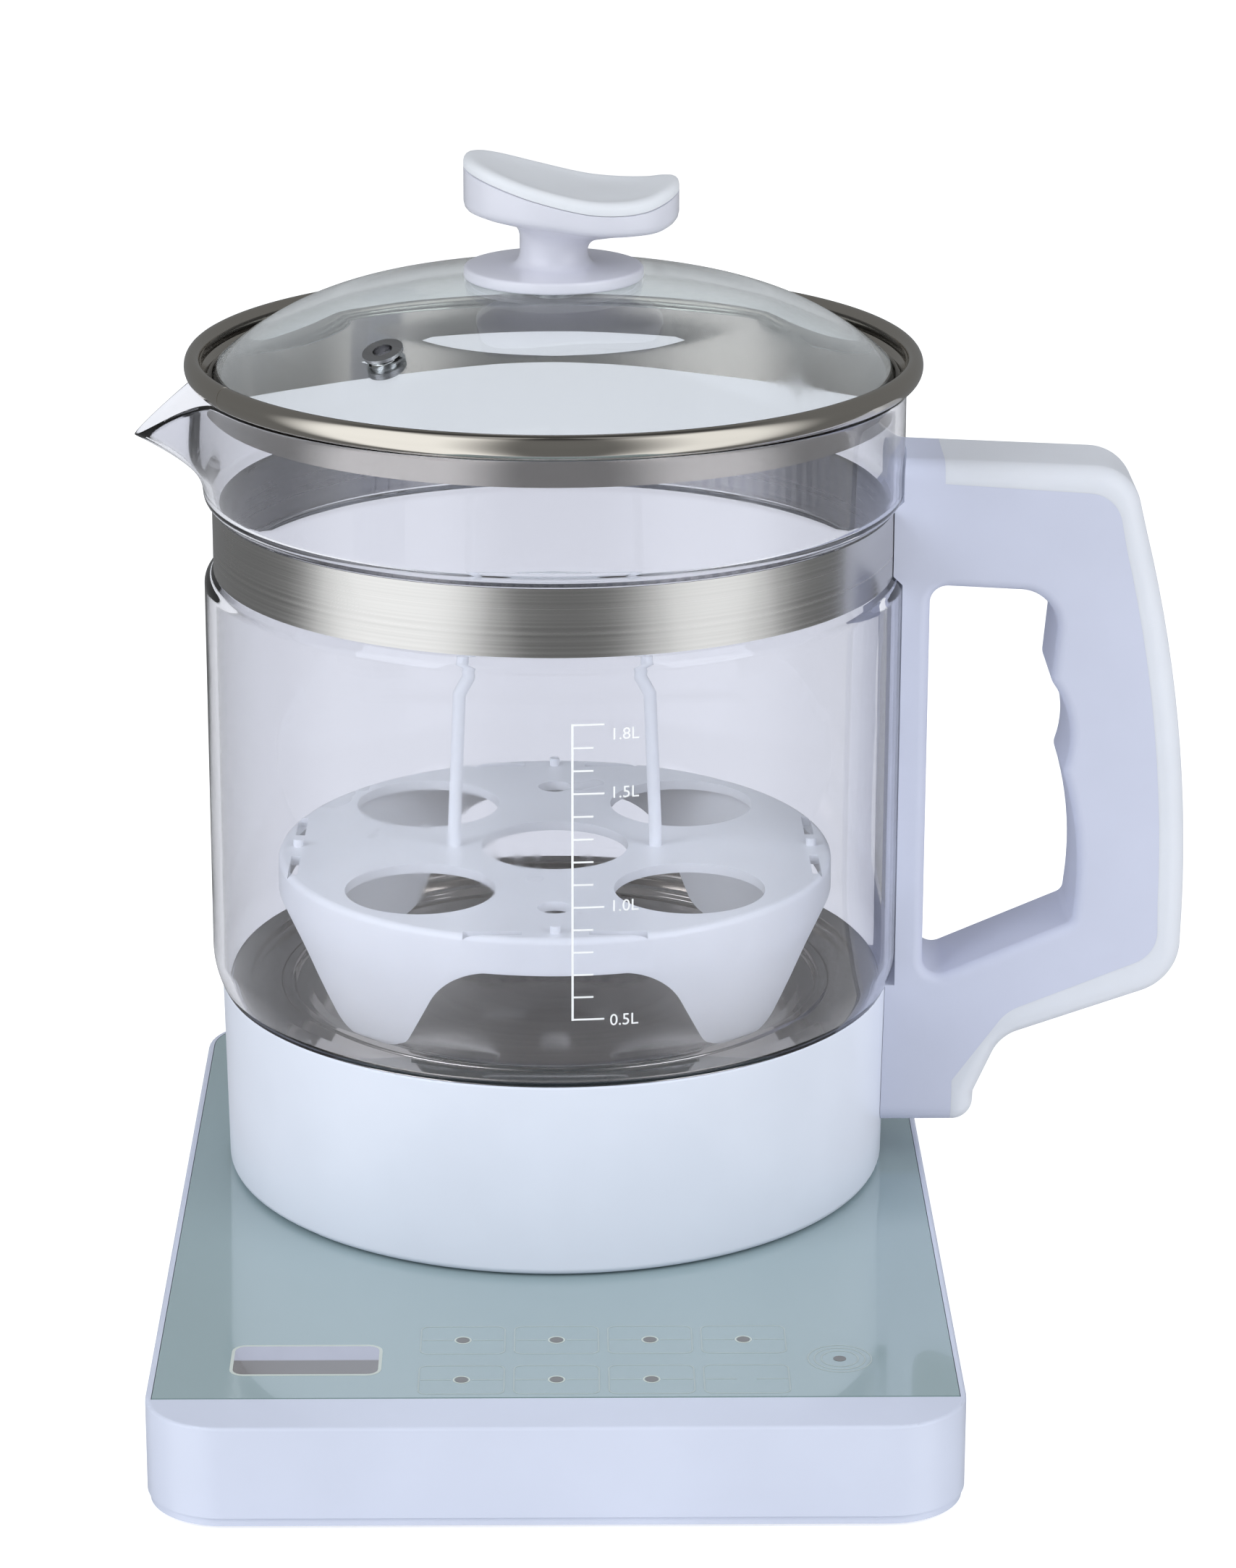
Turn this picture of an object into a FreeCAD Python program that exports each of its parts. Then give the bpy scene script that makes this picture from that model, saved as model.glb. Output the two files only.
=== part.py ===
"""Glass egg cooker with a lift-off jug, a removable egg tray and a touch-control base.

Millimetres, +Z up.  The origin is on the jug's axis, on the table.  +X points to the handle and
-Y to the front of the base.  Every size is a cell of the sheet "Sizes".
"""
import FreeCAD, Part
import math
import os
import Sketcher

DOC = FreeCAD.newDocument("egg_cooker")

SIZES = {
    # base
    "base_width": 175.0, "base_front": 155.0, "base_rear": 85.5, "base_corner": 17.0,
    "base_height": 22.9, "foot_height": 1.0, "foot_radius": 7.0, "foot_inset": 22.0,
    "cover_thick": 2.0, "cover_inset": 0.6, "base_wall": 2.2, "deck_thick": 2.2,
    "panel_thick": 3.0, "panel_border": 1.5, "front_strip": 14.6, "fit_gap": 0.15,
    "boss_screw_inset": 14.0, "boss_radius": 3.6, "screw_radius": 1.4, "screw_head": 2.8,
    "key_pitch": 20.4, "key_start": -20.3, "key_row_edge": 9.1, "key_row_gap": 20.3,
    "key_hole": 6.0, "power_key_side": 61.4, "power_key_edge": 19.2,
    "display_side": 54.0, "display_edge": 19.3, "display_length": 32.0, "display_depth": 15.0,
    "board_thick": 1.6, "cord_bore": 3.5,
    # coupler
    "coupler_radius": 18.5, "coupler_rise": 8.0, "pin_radius": 4.0, "pin_play": 0.6,
    "socket_play": 1.5, "ring_radius": 10.2,
    # jug
    "glass_radius": 80.5, "glass_wall": 2.4, "glass_height": 143.5, "glass_step": 2.1,
    "jug_gap": 0.4, "skirt_draft": 0.8, "skirt_height": 45.7, "skirt_wall": 3.0,
    "mouth_rise": 28.5, "band_height": 15.6, "band_thick": 0.5, "band_sink": 2.0,
    "plate_margin": 11.0, "plate_drop": 2.5, "plate_sheet": 0.8, "flange_drop": 7.2,
    "spout_reach": 16.0, "spout_width": 15.0,
    # handle
    "handle_width": 27.0, "handle_reach": 66.2, "handle_tail": 10.7, "handle_soft": 5.5,
    # lid
    "lid_gap": 0.3, "rim_overhang": 3.5, "rim_roll": 5.1, "rim_skirt": 6.6, "rim_sheet": 0.6,
    "dome_glass": 3.5, "dome_crown": 200.0, "dome_knuckle": 63.5, "dome_slope": 0.7,
    "knob_foot": 20.4, "knob_neck": 7.7, "knob_length": 48.6, "knob_width": 36.0,
    "knob_offset": 4.0, "knob_low": 9.0, "knob_high": 27.5,
    "knob_screw": 2.4, "vent_inset": 21.1, "vent_radius": 3.2, "vent_flange": 4.6,
    # tray
    "tray_play": 13.2, "tray_height": 32.9, "tray_wall": 2.2, "tray_taper": 6.1,
    "egg_hole": 17.2, "egg_margin": 4.35, "steam_inset": 21.4, "steam_hole": 4.0,
    "arch_height": 24.2, "arch_top": 22.0, "arch_foot": 36.0, "lifter_margin": 6.4, "lifter_rise": 63.7,
    "lifter_rod": 1.5, "lifter_disc": 8.6,
}


class Size:
    """A number of millimetres, together with the sheet expression that gives it."""

    def __init__(self, value, text):
        self.value = value
        self.text = text

    def _join(self, other, sign, value):
        return Size(value, f"({self.text} {sign} {number(other).text})")

    def __add__(self, other):
        return self._join(other, "+", self.value + number(other).value)

    def __sub__(self, other):
        return self._join(other, "-", self.value - number(other).value)

    def __mul__(self, other):
        return self._join(other, "*", self.value * number(other).value)

    def __truediv__(self, other):
        return self._join(other, "/", self.value / number(other).value)

    def __neg__(self):
        return Size(-self.value, f"(0 - {self.text})")

    def __radd__(self, other):
        return number(other) + self


def number(item):
    """Give a plain number the same form as a size."""
    return item if isinstance(item, Size) else Size(float(item), f"({float(item)!r})")


def root(size):
    """Square root of a size."""
    return Size(math.sqrt(size.value), f"sqrt({size.text})")


class Sheet:
    """The spreadsheet of driving sizes, read by name."""

    def __init__(self, sizes):
        self.cells = DOC.addObject("Spreadsheet::Sheet", "Sizes")
        for row, (name, value) in enumerate(sizes.items(), start=1):
            self.cells.set(f"A{row}", name)
            self.cells.set(f"B{row}", str(value))
            self.cells.setAlias(f"B{row}", name)
        DOC.recompute()

    def __getattr__(self, name):
        return Size(float(self.cells.get(name)), f"Sizes.{name}")


S = Sheet(SIZES)
NODES = []


# ---------------------------------------------------------------------------------------------
# ways of making a piece
# ---------------------------------------------------------------------------------------------
def node(item):
    """Note a finished piece, which is written to its own file."""
    item.Label = item.Name
    NODES.append(item)
    return item


def bind(item, field, size):
    """Set a property from the sheet."""
    item.setExpression(field, number(size).text)


def place(item, x=0, y=0, z=0):
    """Bind a piece's position to the sheet."""
    for axis, size in zip("xyz", (x, y, z)):
        bind(item, f"Placement.Base.{axis}", size)
    return item


def new_body(name):
    """Start a PartDesign body."""
    return DOC.addObject("PartDesign::Body", name)


def new_sketch(body, name, role="XZ_Plane", lift=0):
    """Start a sketch on one of the body's own planes, lifted along the plane's normal."""
    sketch = body.newObject("Sketcher::SketchObject", name)
    flat = next(item for item in body.Origin.OriginFeatures if item.Role == role)
    sketch.AttachmentSupport = [(flat, "")]
    sketch.MapMode = "FlatFace"
    bind(sketch, "AttachmentOffset.Base.z", lift)
    return sketch


def bind_point(sketch, curve, end, spot):
    """Tie one end of a curve to its two sizes."""
    for kind, size in zip(("DistanceX", "DistanceY"), spot):
        row = sketch.addConstraint(Sketcher.Constraint(kind, -1, 1, curve, end, number(size).value))
        sketch.setExpression(f"Constraints[{row}]", number(size).text)


def bend(start, stop, radius):
    """Arc of less than half a turn; a positive radius turns left on the way to stop."""
    (x0, y0), (x1, y1) = ([number(size).value for size in spot] for spot in (start, stop))
    size = abs(radius)
    chord = math.hypot(x1 - x0, y1 - y0)
    away = math.sqrt(size * size - chord * chord / 4) * (1 if radius > 0 else -1)
    centre_x = (x0 + x1) / 2 - (y1 - y0) / chord * away
    centre_y = (y0 + y1) / 2 + (x1 - x0) / chord * away
    first = math.atan2(y0 - centre_y, x0 - centre_x)
    last = math.atan2(y1 - centre_y, x1 - centre_x)
    if radius < 0:
        first, last = last, first
    if last < first:
        last += 2 * math.pi
    circle = Part.Circle(FreeCAD.Vector(centre_x, centre_y, 0), FreeCAD.Vector(0, 0, 1), size)
    return Part.ArcOfCircle(circle, first, last)


def outline(sketch, corners):
    """Draw a closed outline.  A corner is (x, y), or (x, y, radius) to arc to the next one."""
    ends = []
    for corner, following in zip(corners, corners[1:] + corners[:1]):
        start, stop = corner[:2], following[:2]
        turned_round = False
        if len(corner) == 3:
            radius = number(corner[2])
            curve = sketch.addGeometry(bend(start, stop, radius.value), False)
            row = sketch.addConstraint(Sketcher.Constraint("Radius", curve, abs(radius.value)))
            sketch.setExpression(f"Constraints[{row}]", f"abs({radius.text})")
            turned_round = radius.value < 0
        else:
            points = [FreeCAD.Vector(number(x).value, number(y).value, 0) for x, y in (start, stop)]
            curve = sketch.addGeometry(Part.LineSegment(*points), False)
        ends.append((curve, 2 if turned_round else 1, 1 if turned_round else 2))
        bind_point(sketch, curve, ends[-1][1], start)
    for here, after in zip(ends, ends[1:] + ends[:1]):
        sketch.addConstraint(Sketcher.Constraint("Coincident", here[0], here[2], after[0], after[1]))


def circles(sketch, spots):
    """Draw circles, each given as (x, y, radius)."""
    for x, y, radius in spots:
        centre = FreeCAD.Vector(number(x).value, number(y).value, 0)
        round_ = Part.Circle(centre, FreeCAD.Vector(0, 0, 1), number(radius).value)
        curve = sketch.addGeometry(round_, False)
        bind_point(sketch, curve, 3, (x, y))
        row = sketch.addConstraint(Sketcher.Constraint("Radius", curve, number(radius).value))
        sketch.setExpression(f"Constraints[{row}]", number(radius).text)


def box_corners(x0, x1, y0, y1):
    """Corners of a rectangle."""
    return [(x0, y0), (x1, y0), (x1, y1), (x0, y1)]


def rounded_box(x0, x1, y0, y1, low_radius, high_radius):
    """Corners of a rectangle with its corners rounded, by one radius at y0 and one at y1."""
    corners = []
    for radius, spots in ((low_radius, ((x0, y0, 0, 1), (x1, y0, 1, 1))),
                          (high_radius, ((x1, y1, 1, -1), (x0, y1, 0, -1)))):
        for x, y, right, inward in spots:
            if not radius:
                corners.append((x, y))
                continue
            aside = (x - radius if right else x + radius, y)
            along = (x, y + radius if inward > 0 else y - radius)
            first, second = (aside, along) if right == (inward > 0) else (along, aside)
            corners += [first + (radius,), second]
    return corners


def turn(body, name, corners):
    """Turn an outline (radius, height) round the Z axis."""
    sketch = new_sketch(body, name)
    outline(sketch, corners)
    feature = body.newObject("PartDesign::Revolution", name + "_turn")
    feature.Profile = sketch
    feature.ReferenceAxis = (sketch, ["V_Axis"])
    feature.Angle = 360
    DOC.recompute()


def turned(name, corners):
    """A piece that is one turned outline."""
    body = new_body(name)
    turn(body, name + "_outline", corners)
    return body


def pad(body, name, low, high, corners=None, rounds=()):
    """Add a flat shape between two heights."""
    sketch = new_sketch(body, name, "XY_Plane", low)
    if corners:
        outline(sketch, corners)
    circles(sketch, rounds)
    feature = body.newObject("PartDesign::Pad", name + "_pad")
    feature.Profile = sketch
    bind(feature, "Length", number(high) - low)
    DOC.recompute()
    return feature


def check_cut(body, before, name):
    """Stop if a pocket left the piece as it was."""
    DOC.recompute()
    if body.Shape.Volume > before - 1e-3:
        raise RuntimeError(f"{name} cuts nothing")


def pocket(body, name, low, high, corners=None, rounds=(), extra=()):
    """Cut a flat shape away between two heights."""
    before = body.Shape.Volume
    sketch = new_sketch(body, name, "XY_Plane", high)
    for shape in ([corners] if corners else []) + list(extra):
        outline(sketch, shape)
    circles(sketch, rounds)
    feature = body.newObject("PartDesign::Pocket", name + "_cut")
    feature.Profile = sketch
    bind(feature, "Length", number(high) - low)
    check_cut(body, before, name)
    return feature


def side_pocket(body, name, role, depth, lift=0, corners=None, rounds=(), both=False):
    """Cut from an upright plane, towards +X (YZ plane) or towards +Y (XZ plane), or both ways."""
    before = body.Shape.Volume
    sketch = new_sketch(body, name, role, lift)
    if corners:
        outline(sketch, corners)
    circles(sketch, rounds)
    feature = body.newObject("PartDesign::Pocket", name + "_cut")
    feature.Profile = sketch
    feature.Reversed = role == "YZ_Plane"
    if both:
        feature.SideType = "Symmetric"
    bind(feature, "Length", depth)
    check_cut(body, before, name)


def around(body, features, name, count):
    """Repeat features evenly round the Z axis."""
    feature = body.newObject("PartDesign::PolarPattern", name)
    feature.Originals = features
    axis = next(item for item in body.Origin.OriginFeatures if item.Role == "Z_Axis")
    feature.Axis = (axis, [""])
    feature.Angle = 360
    feature.Occurrences = count
    body.Tip = feature
    DOC.recompute()


def edge_names(shape, wanted):
    """Names of the edges that a test accepts."""
    return [f"Edge{index}" for index, edge in enumerate(shape.Edges, start=1) if wanted(edge)]


def soften(body, name, radius, spots, kind="Fillet"):
    """Round or bevel the edges that pass through the given points."""
    marks = [Part.Vertex(*(number(size).value for size in spot)) for spot in spots]
    dress(body, name, radius, kind, lambda edge: any(edge.distToShape(mark)[0] < 1e-4 for mark in marks))


def soften_sides(body, name, radius, width, from_x, to_x=1000):
    """Round the rims of a plate's two side faces, between two distances from the axis."""
    half, start, stop = number(width).value / 2, number(from_x).value, number(to_x).value
    dress(body, name, radius, "Fillet", lambda edge: (
        abs(abs(edge.CenterOfMass.y) - half) < 1e-6 and edge.BoundBox.YLength < 1e-6
        and start < edge.CenterOfMass.x < stop and not smooth_join(body.Tip.Shape, edge)))


def smooth_join(shape, edge):
    """Whether the faces on both sides of an edge already run into each other."""
    faces = shape.ancestorsOfType(edge, Part.Face)
    if len(faces) != 2:
        return True
    middle = edge.valueAt((edge.FirstParameter + edge.LastParameter) / 2)
    normals = [face.normalAt(*face.Surface.parameter(middle)) for face in faces]
    return abs(normals[0].dot(normals[1])) > 0.99


def dress(body, name, radius, kind, wanted):
    """Round or bevel the edges that a test accepts."""
    base = body.Tip
    edges = edge_names(base.Shape, wanted)
    if not edges:
        raise RuntimeError(f"{name} finds no edge")
    feature = body.newObject("PartDesign::" + kind, name)
    feature.Base = (base, edges)
    bind(feature, "Radius" if kind == "Fillet" else "Size", radius)
    DOC.recompute()
    if feature.Shape.isNull() or not feature.Shape.Solids:
        raise RuntimeError(f"{name} leaves nothing")


def cylinder(name, radius, low, high, x=0, y=0):
    """Upright cylinder."""
    item = DOC.addObject("Part::Cylinder", name)
    bind(item, "Radius", radius)
    bind(item, "Height", number(high) - low)
    return place(item, x, y, low)


def block(name, x0, x1, y0, y1, z0, z1):
    """Upright box between its limits."""
    item = DOC.addObject("Part::Box", name)
    for field, low, high in (("Length", x0, x1), ("Width", y0, y1), ("Height", z0, z1)):
        bind(item, field, number(high) - low)
    return place(item, x0, y0, z0)


def fuse(name, *items):
    """One solid from several."""
    item = DOC.addObject("Part::MultiFuse", name)
    item.Shapes = list(items)
    return item


def cut(name, base, *tools):
    """A piece with other shapes taken away."""
    for index, tool in enumerate(tools, start=1):
        last = index == len(tools)
        item = DOC.addObject("Part::Cut", name if last else f"{name}_step{index}")
        item.Base, item.Tool = base, tool
        base = item
    return base


def common(name, *items):
    """What several shapes share."""
    item = DOC.addObject("Part::MultiCommon", name)
    item.Shapes = list(items)
    return item


def group(name, items):
    """Several separate solids in one node."""
    item = DOC.addObject("Part::Compound", name)
    item.Links = items
    return item


# ---------------------------------------------------------------------------------------------
# levels and places that several pieces share
# ---------------------------------------------------------------------------------------------
half_width = S.base_width / 2
housing_low = S.foot_height + S.cover_thick
base_top = S.foot_height + S.base_height
panel_low = base_top - S.panel_thick
deck_low = panel_low - S.deck_thick
cavity_side = half_width - S.base_wall
cavity_front = S.base_front - S.base_wall
cavity_rear = S.base_rear - S.base_wall
panel_front = S.base_front - S.front_strip
panel_side = half_width - S.panel_border
panel_rear = S.base_rear - S.panel_border
coupler_top = base_top + S.coupler_rise
jug_low = base_top + S.jug_gap
skirt_top = jug_low + S.skirt_height
glass_top = skirt_top + S.glass_height
band_top = glass_top - S.mouth_rise
band_low = band_top - S.band_height
plate_top = skirt_top - S.plate_drop
flange_low = skirt_top - S.flange_drop - S.plate_sheet
spreader_low = plate_top - S.plate_sheet - 5.2
skirt_radius = S.glass_radius - S.glass_step
skirt_foot = skirt_radius - S.skirt_draft
skirt_inner = skirt_radius - S.skirt_wall
plate_radius = skirt_inner - S.plate_margin
neck_radius = skirt_inner - 0.4
groove_radius = skirt_radius - S.band_thick
lid_low = glass_top + S.lid_gap
rim_radius = S.glass_radius + S.rim_overhang
board_top = deck_low - 6.0
key_row_front = panel_front - S.key_row_edge
key_row_rear = key_row_front - S.key_row_gap
power_key_front = panel_front - S.power_key_edge
display_front = panel_front - S.display_edge
tail_low = jug_low + S.handle_tail
tray_radius = S.glass_radius - S.glass_wall - S.tray_play


# ---------------------------------------------------------------------------------------------
# base
# ---------------------------------------------------------------------------------------------
def screw_spots():
    """Places of the six screws of the bottom cover."""
    side = half_width - S.boss_screw_inset
    rows = (-(S.base_front - S.boss_screw_inset), S.foot_radius - 8, S.base_rear - S.boss_screw_inset)
    return [(x, y) for y in rows for x in (-side, side)]


def key_spots():
    """Places of the touch keys: two rows of four, and the power key."""
    spots = []
    for front in (key_row_rear, key_row_front):
        spots += [(S.key_start + S.key_pitch * index, -front) for index in range(4)]
    return spots + [(S.power_key_side, -power_key_front)]


def display_limits(margin):
    """Corners of the display, with a margin all round."""
    half_length = S.display_length / 2 + margin
    half_depth = S.display_depth / 2 + margin
    x, y = -S.display_side, -display_front
    return box_corners(x - half_length, x + half_length, y - half_depth, y + half_depth)


def make_base_housing():
    """Moulded tray: walls, deck under the glass, screw bosses, cord inlet."""
    body = new_body("base_housing")
    corner = S.base_corner
    pad(body, "housing_block", housing_low, base_top,
        rounded_box(-half_width, half_width, -S.base_front, S.base_rear, corner, corner))
    soften(body, "housing_edge", 0.8, [(0, -S.base_front, base_top)])
    side, rear = panel_side + S.fit_gap, panel_rear + S.fit_gap
    pocket(body, "panel_recess", panel_low, base_top,
           rounded_box(-side, side, -(panel_front + S.fit_gap), rear, 0, corner - S.panel_border))
    corner = corner - S.base_wall
    pocket(body, "cavity", housing_low, deck_low,
           rounded_box(-cavity_side, cavity_side, -cavity_front, cavity_rear, corner, corner))
    openings = [(0, 0, S.coupler_radius + S.fit_gap)]
    openings += [(x, y, S.key_hole) for x, y in key_spots()]
    pocket(body, "deck_openings", deck_low, panel_low, display_limits(1.0), openings)
    pad(body, "bosses", housing_low + 0.5, deck_low,
        rounds=[(x, y, S.boss_radius) for x, y in screw_spots()])
    pocket(body, "boss_holes", housing_low + 0.5, deck_low - 3,
           rounds=[(x, y, S.screw_radius + 0.05) for x, y in screw_spots()])
    side_pocket(body, "cord_inlet", "XZ_Plane", S.base_wall + 2, -(cavity_rear - 1),
                rounds=[(0, housing_low + 8, S.cord_bore + 1.5)])
    node(body)


def make_base_cover():
    """Bottom cover with vent slots and countersunk screw holes."""
    body = new_body("base_bottom_cover")
    side, front = half_width - S.cover_inset, S.base_front - S.cover_inset
    rear = S.base_rear - S.cover_inset
    corner = S.base_corner - S.cover_inset
    pad(body, "cover_plate", S.foot_height, housing_low,
        rounded_box(-side, side, -front, rear, corner, corner))
    pocket(body, "cover_holes", S.foot_height, housing_low,
           rounds=[(x, y, S.screw_radius + 0.2) for x, y in screw_spots()])
    pocket(body, "cover_sinks", S.foot_height, S.foot_height + 1.2,
           rounds=[(x, y, S.screw_head + 0.2) for x, y in screw_spots()])
    first_slot = S.base_rear - 51.5
    slots = [box_corners(x, x + 24, first_slot + 4.5 * row, first_slot + (2 + 4.5 * row))
             for row in range(6) for x in (-40, 14)]
    pocket(body, "vent_slots", S.foot_height, housing_low, slots[0], extra=slots[1:])
    node(body)


def make_base_small_parts():
    """Feet and cover screws."""
    x, front, rear = half_width - S.foot_inset, S.base_front - S.foot_inset, S.base_rear - S.foot_inset
    spots = [(-x, -front), (x, -front), (-x, rear), (x, rear), (number(0), number(0))]
    feet = [cylinder(f"foot_{index}", S.foot_radius, 0, S.foot_height, *spot)
            for index, spot in enumerate(spots)]
    node(group("rubber_feet", feet))
    screws = []
    for index, (x, y) in enumerate(screw_spots()):
        head = cylinder(f"cover_screw_head_{index}", S.screw_head, S.foot_height + 0.1,
                        S.foot_height + 1.2, x, y)
        shaft = cylinder(f"cover_screw_shaft_{index}", S.screw_radius, S.foot_height + 1.2,
                         deck_low - 4, x, y)
        screws.append(fuse(f"cover_screw_{index}", head, shaft))
    node(group("base_screws", screws))


def make_panel():
    """Tempered glass panel, flush in the housing."""
    body = new_body("touch_glass_panel")
    pad(body, "panel_plate", panel_low, base_top,
        rounded_box(-panel_side, panel_side, -panel_front, panel_rear, 0,
                    S.base_corner - S.panel_border))
    pocket(body, "panel_opening", panel_low, base_top, rounds=[(0, 0, S.coupler_radius + 0.4)])
    soften(body, "panel_bevel", 0.35, [(0, -panel_front, base_top)], "Chamfer")
    node(body)


def make_controls():
    """Control board with its keys' springs, light pipes, display and buzzer."""
    board_low = board_top - S.board_thick
    front = key_row_front + 6
    board = block("board_plate", -(S.display_side + 17.5), S.power_key_side + 8, -front,
                  -(key_row_rear - 12), board_low, board_top)
    node(cut("control_board", board, cylinder("board_hole", 1.6, board_low, board_top,
                                              0, -(key_row_rear - 10.2))))
    springs, lights = [], []
    for index, (x, y) in enumerate(key_spots()):
        outer = cylinder(f"spring_outer_{index}", S.key_hole - 0.8, board_top, panel_low, x, y)
        inner = cylinder(f"spring_inner_{index}", S.key_hole - 1.5, board_top, panel_low, x, y)
        springs.append(cut(f"touch_spring_{index}", outer, inner))
        if index != 7:
            lights.append(cylinder(f"light_pipe_{index}", 1.5, board_top, panel_low, x, y))
    node(group("touch_springs", springs))
    node(group("indicator_lights", lights))
    half_length, half_depth = S.display_length / 2, S.display_depth / 2
    node(block("display_module", -S.display_side - half_length, -S.display_side + half_length,
               -display_front - half_depth, -display_front + half_depth, board_top, panel_low))
    node(cylinder("buzzer", 5.0, board_low - 5, board_low, 15, -power_key_front))


def make_power_parts():
    """Power board on the bottom cover, with what stands on it."""
    board_low = housing_low + 2.0
    board_high = board_low + S.board_thick
    front = S.base_rear - 55.5
    board = block("power_board_plate", -62, 62, front, front + 40, board_low, board_high)
    pillars = [cylinder(f"board_pillar_{index}", 2.5, housing_low, board_low, x, front + depth)
               for index, (x, depth) in enumerate([(-56, 20), (56, 20), (0, 4)])]
    node(fuse("power_board", board, *pillars))
    parts = {"supply_transformer": (-52, -34, 10, 28, 9.0), "relay": (-26, -8, 12, 26, 9.5),
             "mains_capacitor": (26, 42, 10, 17, 8.5), "terminal_block": (-2, 18, 24, 36, 8.0)}
    for name, (left, right, near, far, height) in parts.items():
        node(block(name, left, right, front + near, front + far, board_high, board_high + height))


def make_cord_gland():
    """Bush of the mains lead in the rear wall; its bore runs along Y."""
    inside = S.base_rear - S.base_wall
    body = new_body("cord_gland")
    turn(body, "gland_outline", [
        (S.cord_bore, -6), (S.cord_bore + 1.4, -6), (S.cord_bore + 1.4, 0),
        (S.cord_bore + 3, 0), (S.cord_bore + 3, 1.5), (S.cord_bore, 1.5)])
    body.Placement.Rotation = FreeCAD.Rotation(FreeCAD.Vector(1, 0, 0), -90)
    place(body, 0, S.base_rear, housing_low + 8)
    node(body)
    nut = turned("gland_nut", [(S.cord_bore + 1.45, 0), (S.cord_bore + 4, 0),
                               (S.cord_bore + 4, 2.4), (S.cord_bore + 1.45, 2.4)])
    nut.Placement.Rotation = FreeCAD.Rotation(FreeCAD.Vector(1, 0, 0), -90)
    node(place(nut, 0, inside - 2.4, housing_low + 8))


def make_base_coupler():
    """Round connector of the base and its ring contact."""
    collar_low = deck_low - 2.2
    outer, bore = S.coupler_radius, S.pin_radius + S.pin_play
    groove_in, groove_out = S.ring_radius - 1.4, S.ring_radius + 1.4
    groove_low = base_top + 1.0
    low = housing_low + 5
    body = turned("base_coupler", [
        (0, low), (outer - 1, low), (outer - 1, collar_low), (outer + 5, collar_low),
        (outer + 5, deck_low), (outer, deck_low), (outer, coupler_top), (groove_out, coupler_top),
        (groove_out, groove_low), (groove_in, groove_low), (groove_in, coupler_top),
        (bore, coupler_top), (bore, low + 3), (0, low + 3)])
    soften(body, "coupler_edge", 1.2, [(outer, 0, coupler_top)])
    node(body)
    node(turned("base_contact_ring", [
        (groove_in + 0.5, groove_low), (groove_out - 0.5, groove_low),
        (groove_out - 0.5, groove_low + 0.9), (groove_in + 0.5, groove_low + 0.9)]))


# ---------------------------------------------------------------------------------------------
# jug
# ---------------------------------------------------------------------------------------------
def make_jug_glass():
    """Borosilicate wall with a groove for the band and a pulled pouring lip."""
    outer, wall = S.glass_radius, S.glass_wall
    inner = outer - wall
    waist, waist_in = groove_radius, groove_radius - wall
    low = skirt_top - S.flange_drop + 0.8
    shoulder = S.band_sink
    wall_body = turned("glass_wall_body", [
        (neck_radius - wall, low), (neck_radius, low), (neck_radius, skirt_top + 0.2),
        (skirt_inner + 3.4, skirt_top + 0.2, 4.5), (outer, skirt_top + 4),
        (outer, band_low - shoulder), (waist, band_low), (waist, band_top),
        (outer - 0.2, band_top + shoulder), (outer - 0.2, glass_top),
        (inner - 0.2, glass_top), (inner - 0.2, band_top + shoulder),
        (waist_in, band_top), (waist_in, band_low), (inner, band_low - shoulder),
        (inner, skirt_top + 6), (neck_radius - wall, skirt_top + 1.5)])
    soften(wall_body, "mouth_edge", wall * 0.4, [(outer - 0.2, 0, glass_top), (inner - 0.2, 0, glass_top)])
    lip_low = band_top + shoulder + 1.5
    steps = [(0.0, 0.20, 0.42), (0.24, 0.36, 0.66), (0.36, 0.62, 0.80), (0.50, 0.93, 0.92),
             (1.7, 1.0, 1.0)]
    beaks = []
    for label, skin in (("outer", 0.0), ("inner", 1.9)):
        rings = []
        for index, (rise, reach, width) in enumerate(steps):
            ring = DOC.addObject("Part::Ellipse", f"lip_{label}_{index}")
            bind(ring, "MajorRadius", S.spout_reach * reach + 11 - skin)
            bind(ring, "MinorRadius", S.spout_width * width - skin)
            place(ring, -(outer - 11), 0, lip_low + S.spout_reach * rise + skin * 0.5)
            rings.append(ring)
        beak = DOC.addObject("Part::Loft", f"lip_{label}")
        beak.Sections = rings
        beak.Solid = True
        beaks.append(beak)
    inside = cylinder("glass_inside", inner - 0.25, band_top + shoulder, glass_top + 30)
    trim = new_body("lip_trim")
    tip = outer + S.spout_reach
    high = glass_top + 30
    side_sketch = new_sketch(trim, "lip_trim_outline")
    outline(side_sketch, [(-(tip + 5), glass_top - 16), (-(tip - 1), glass_top - 13), (-(outer + 3), glass_top - 1),
                          (-outer + 40, glass_top), (-outer + 40, high), (-(tip + 5), high)])
    trim_pad = trim.newObject("PartDesign::Pad", "lip_trim_pad")
    trim_pad.Profile = side_sketch
    trim_pad.SideType = "Symmetric"
    bind(trim_pad, "Length", S.spout_width * 4)
    DOC.recompute()
    skin = cut("lip_skin", beaks[0], inside, trim)
    wall_and_lip = fuse("glass_and_lip", wall_body, skin)
    node(cut("jug_glass", wall_and_lip, beaks[1]))


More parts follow.
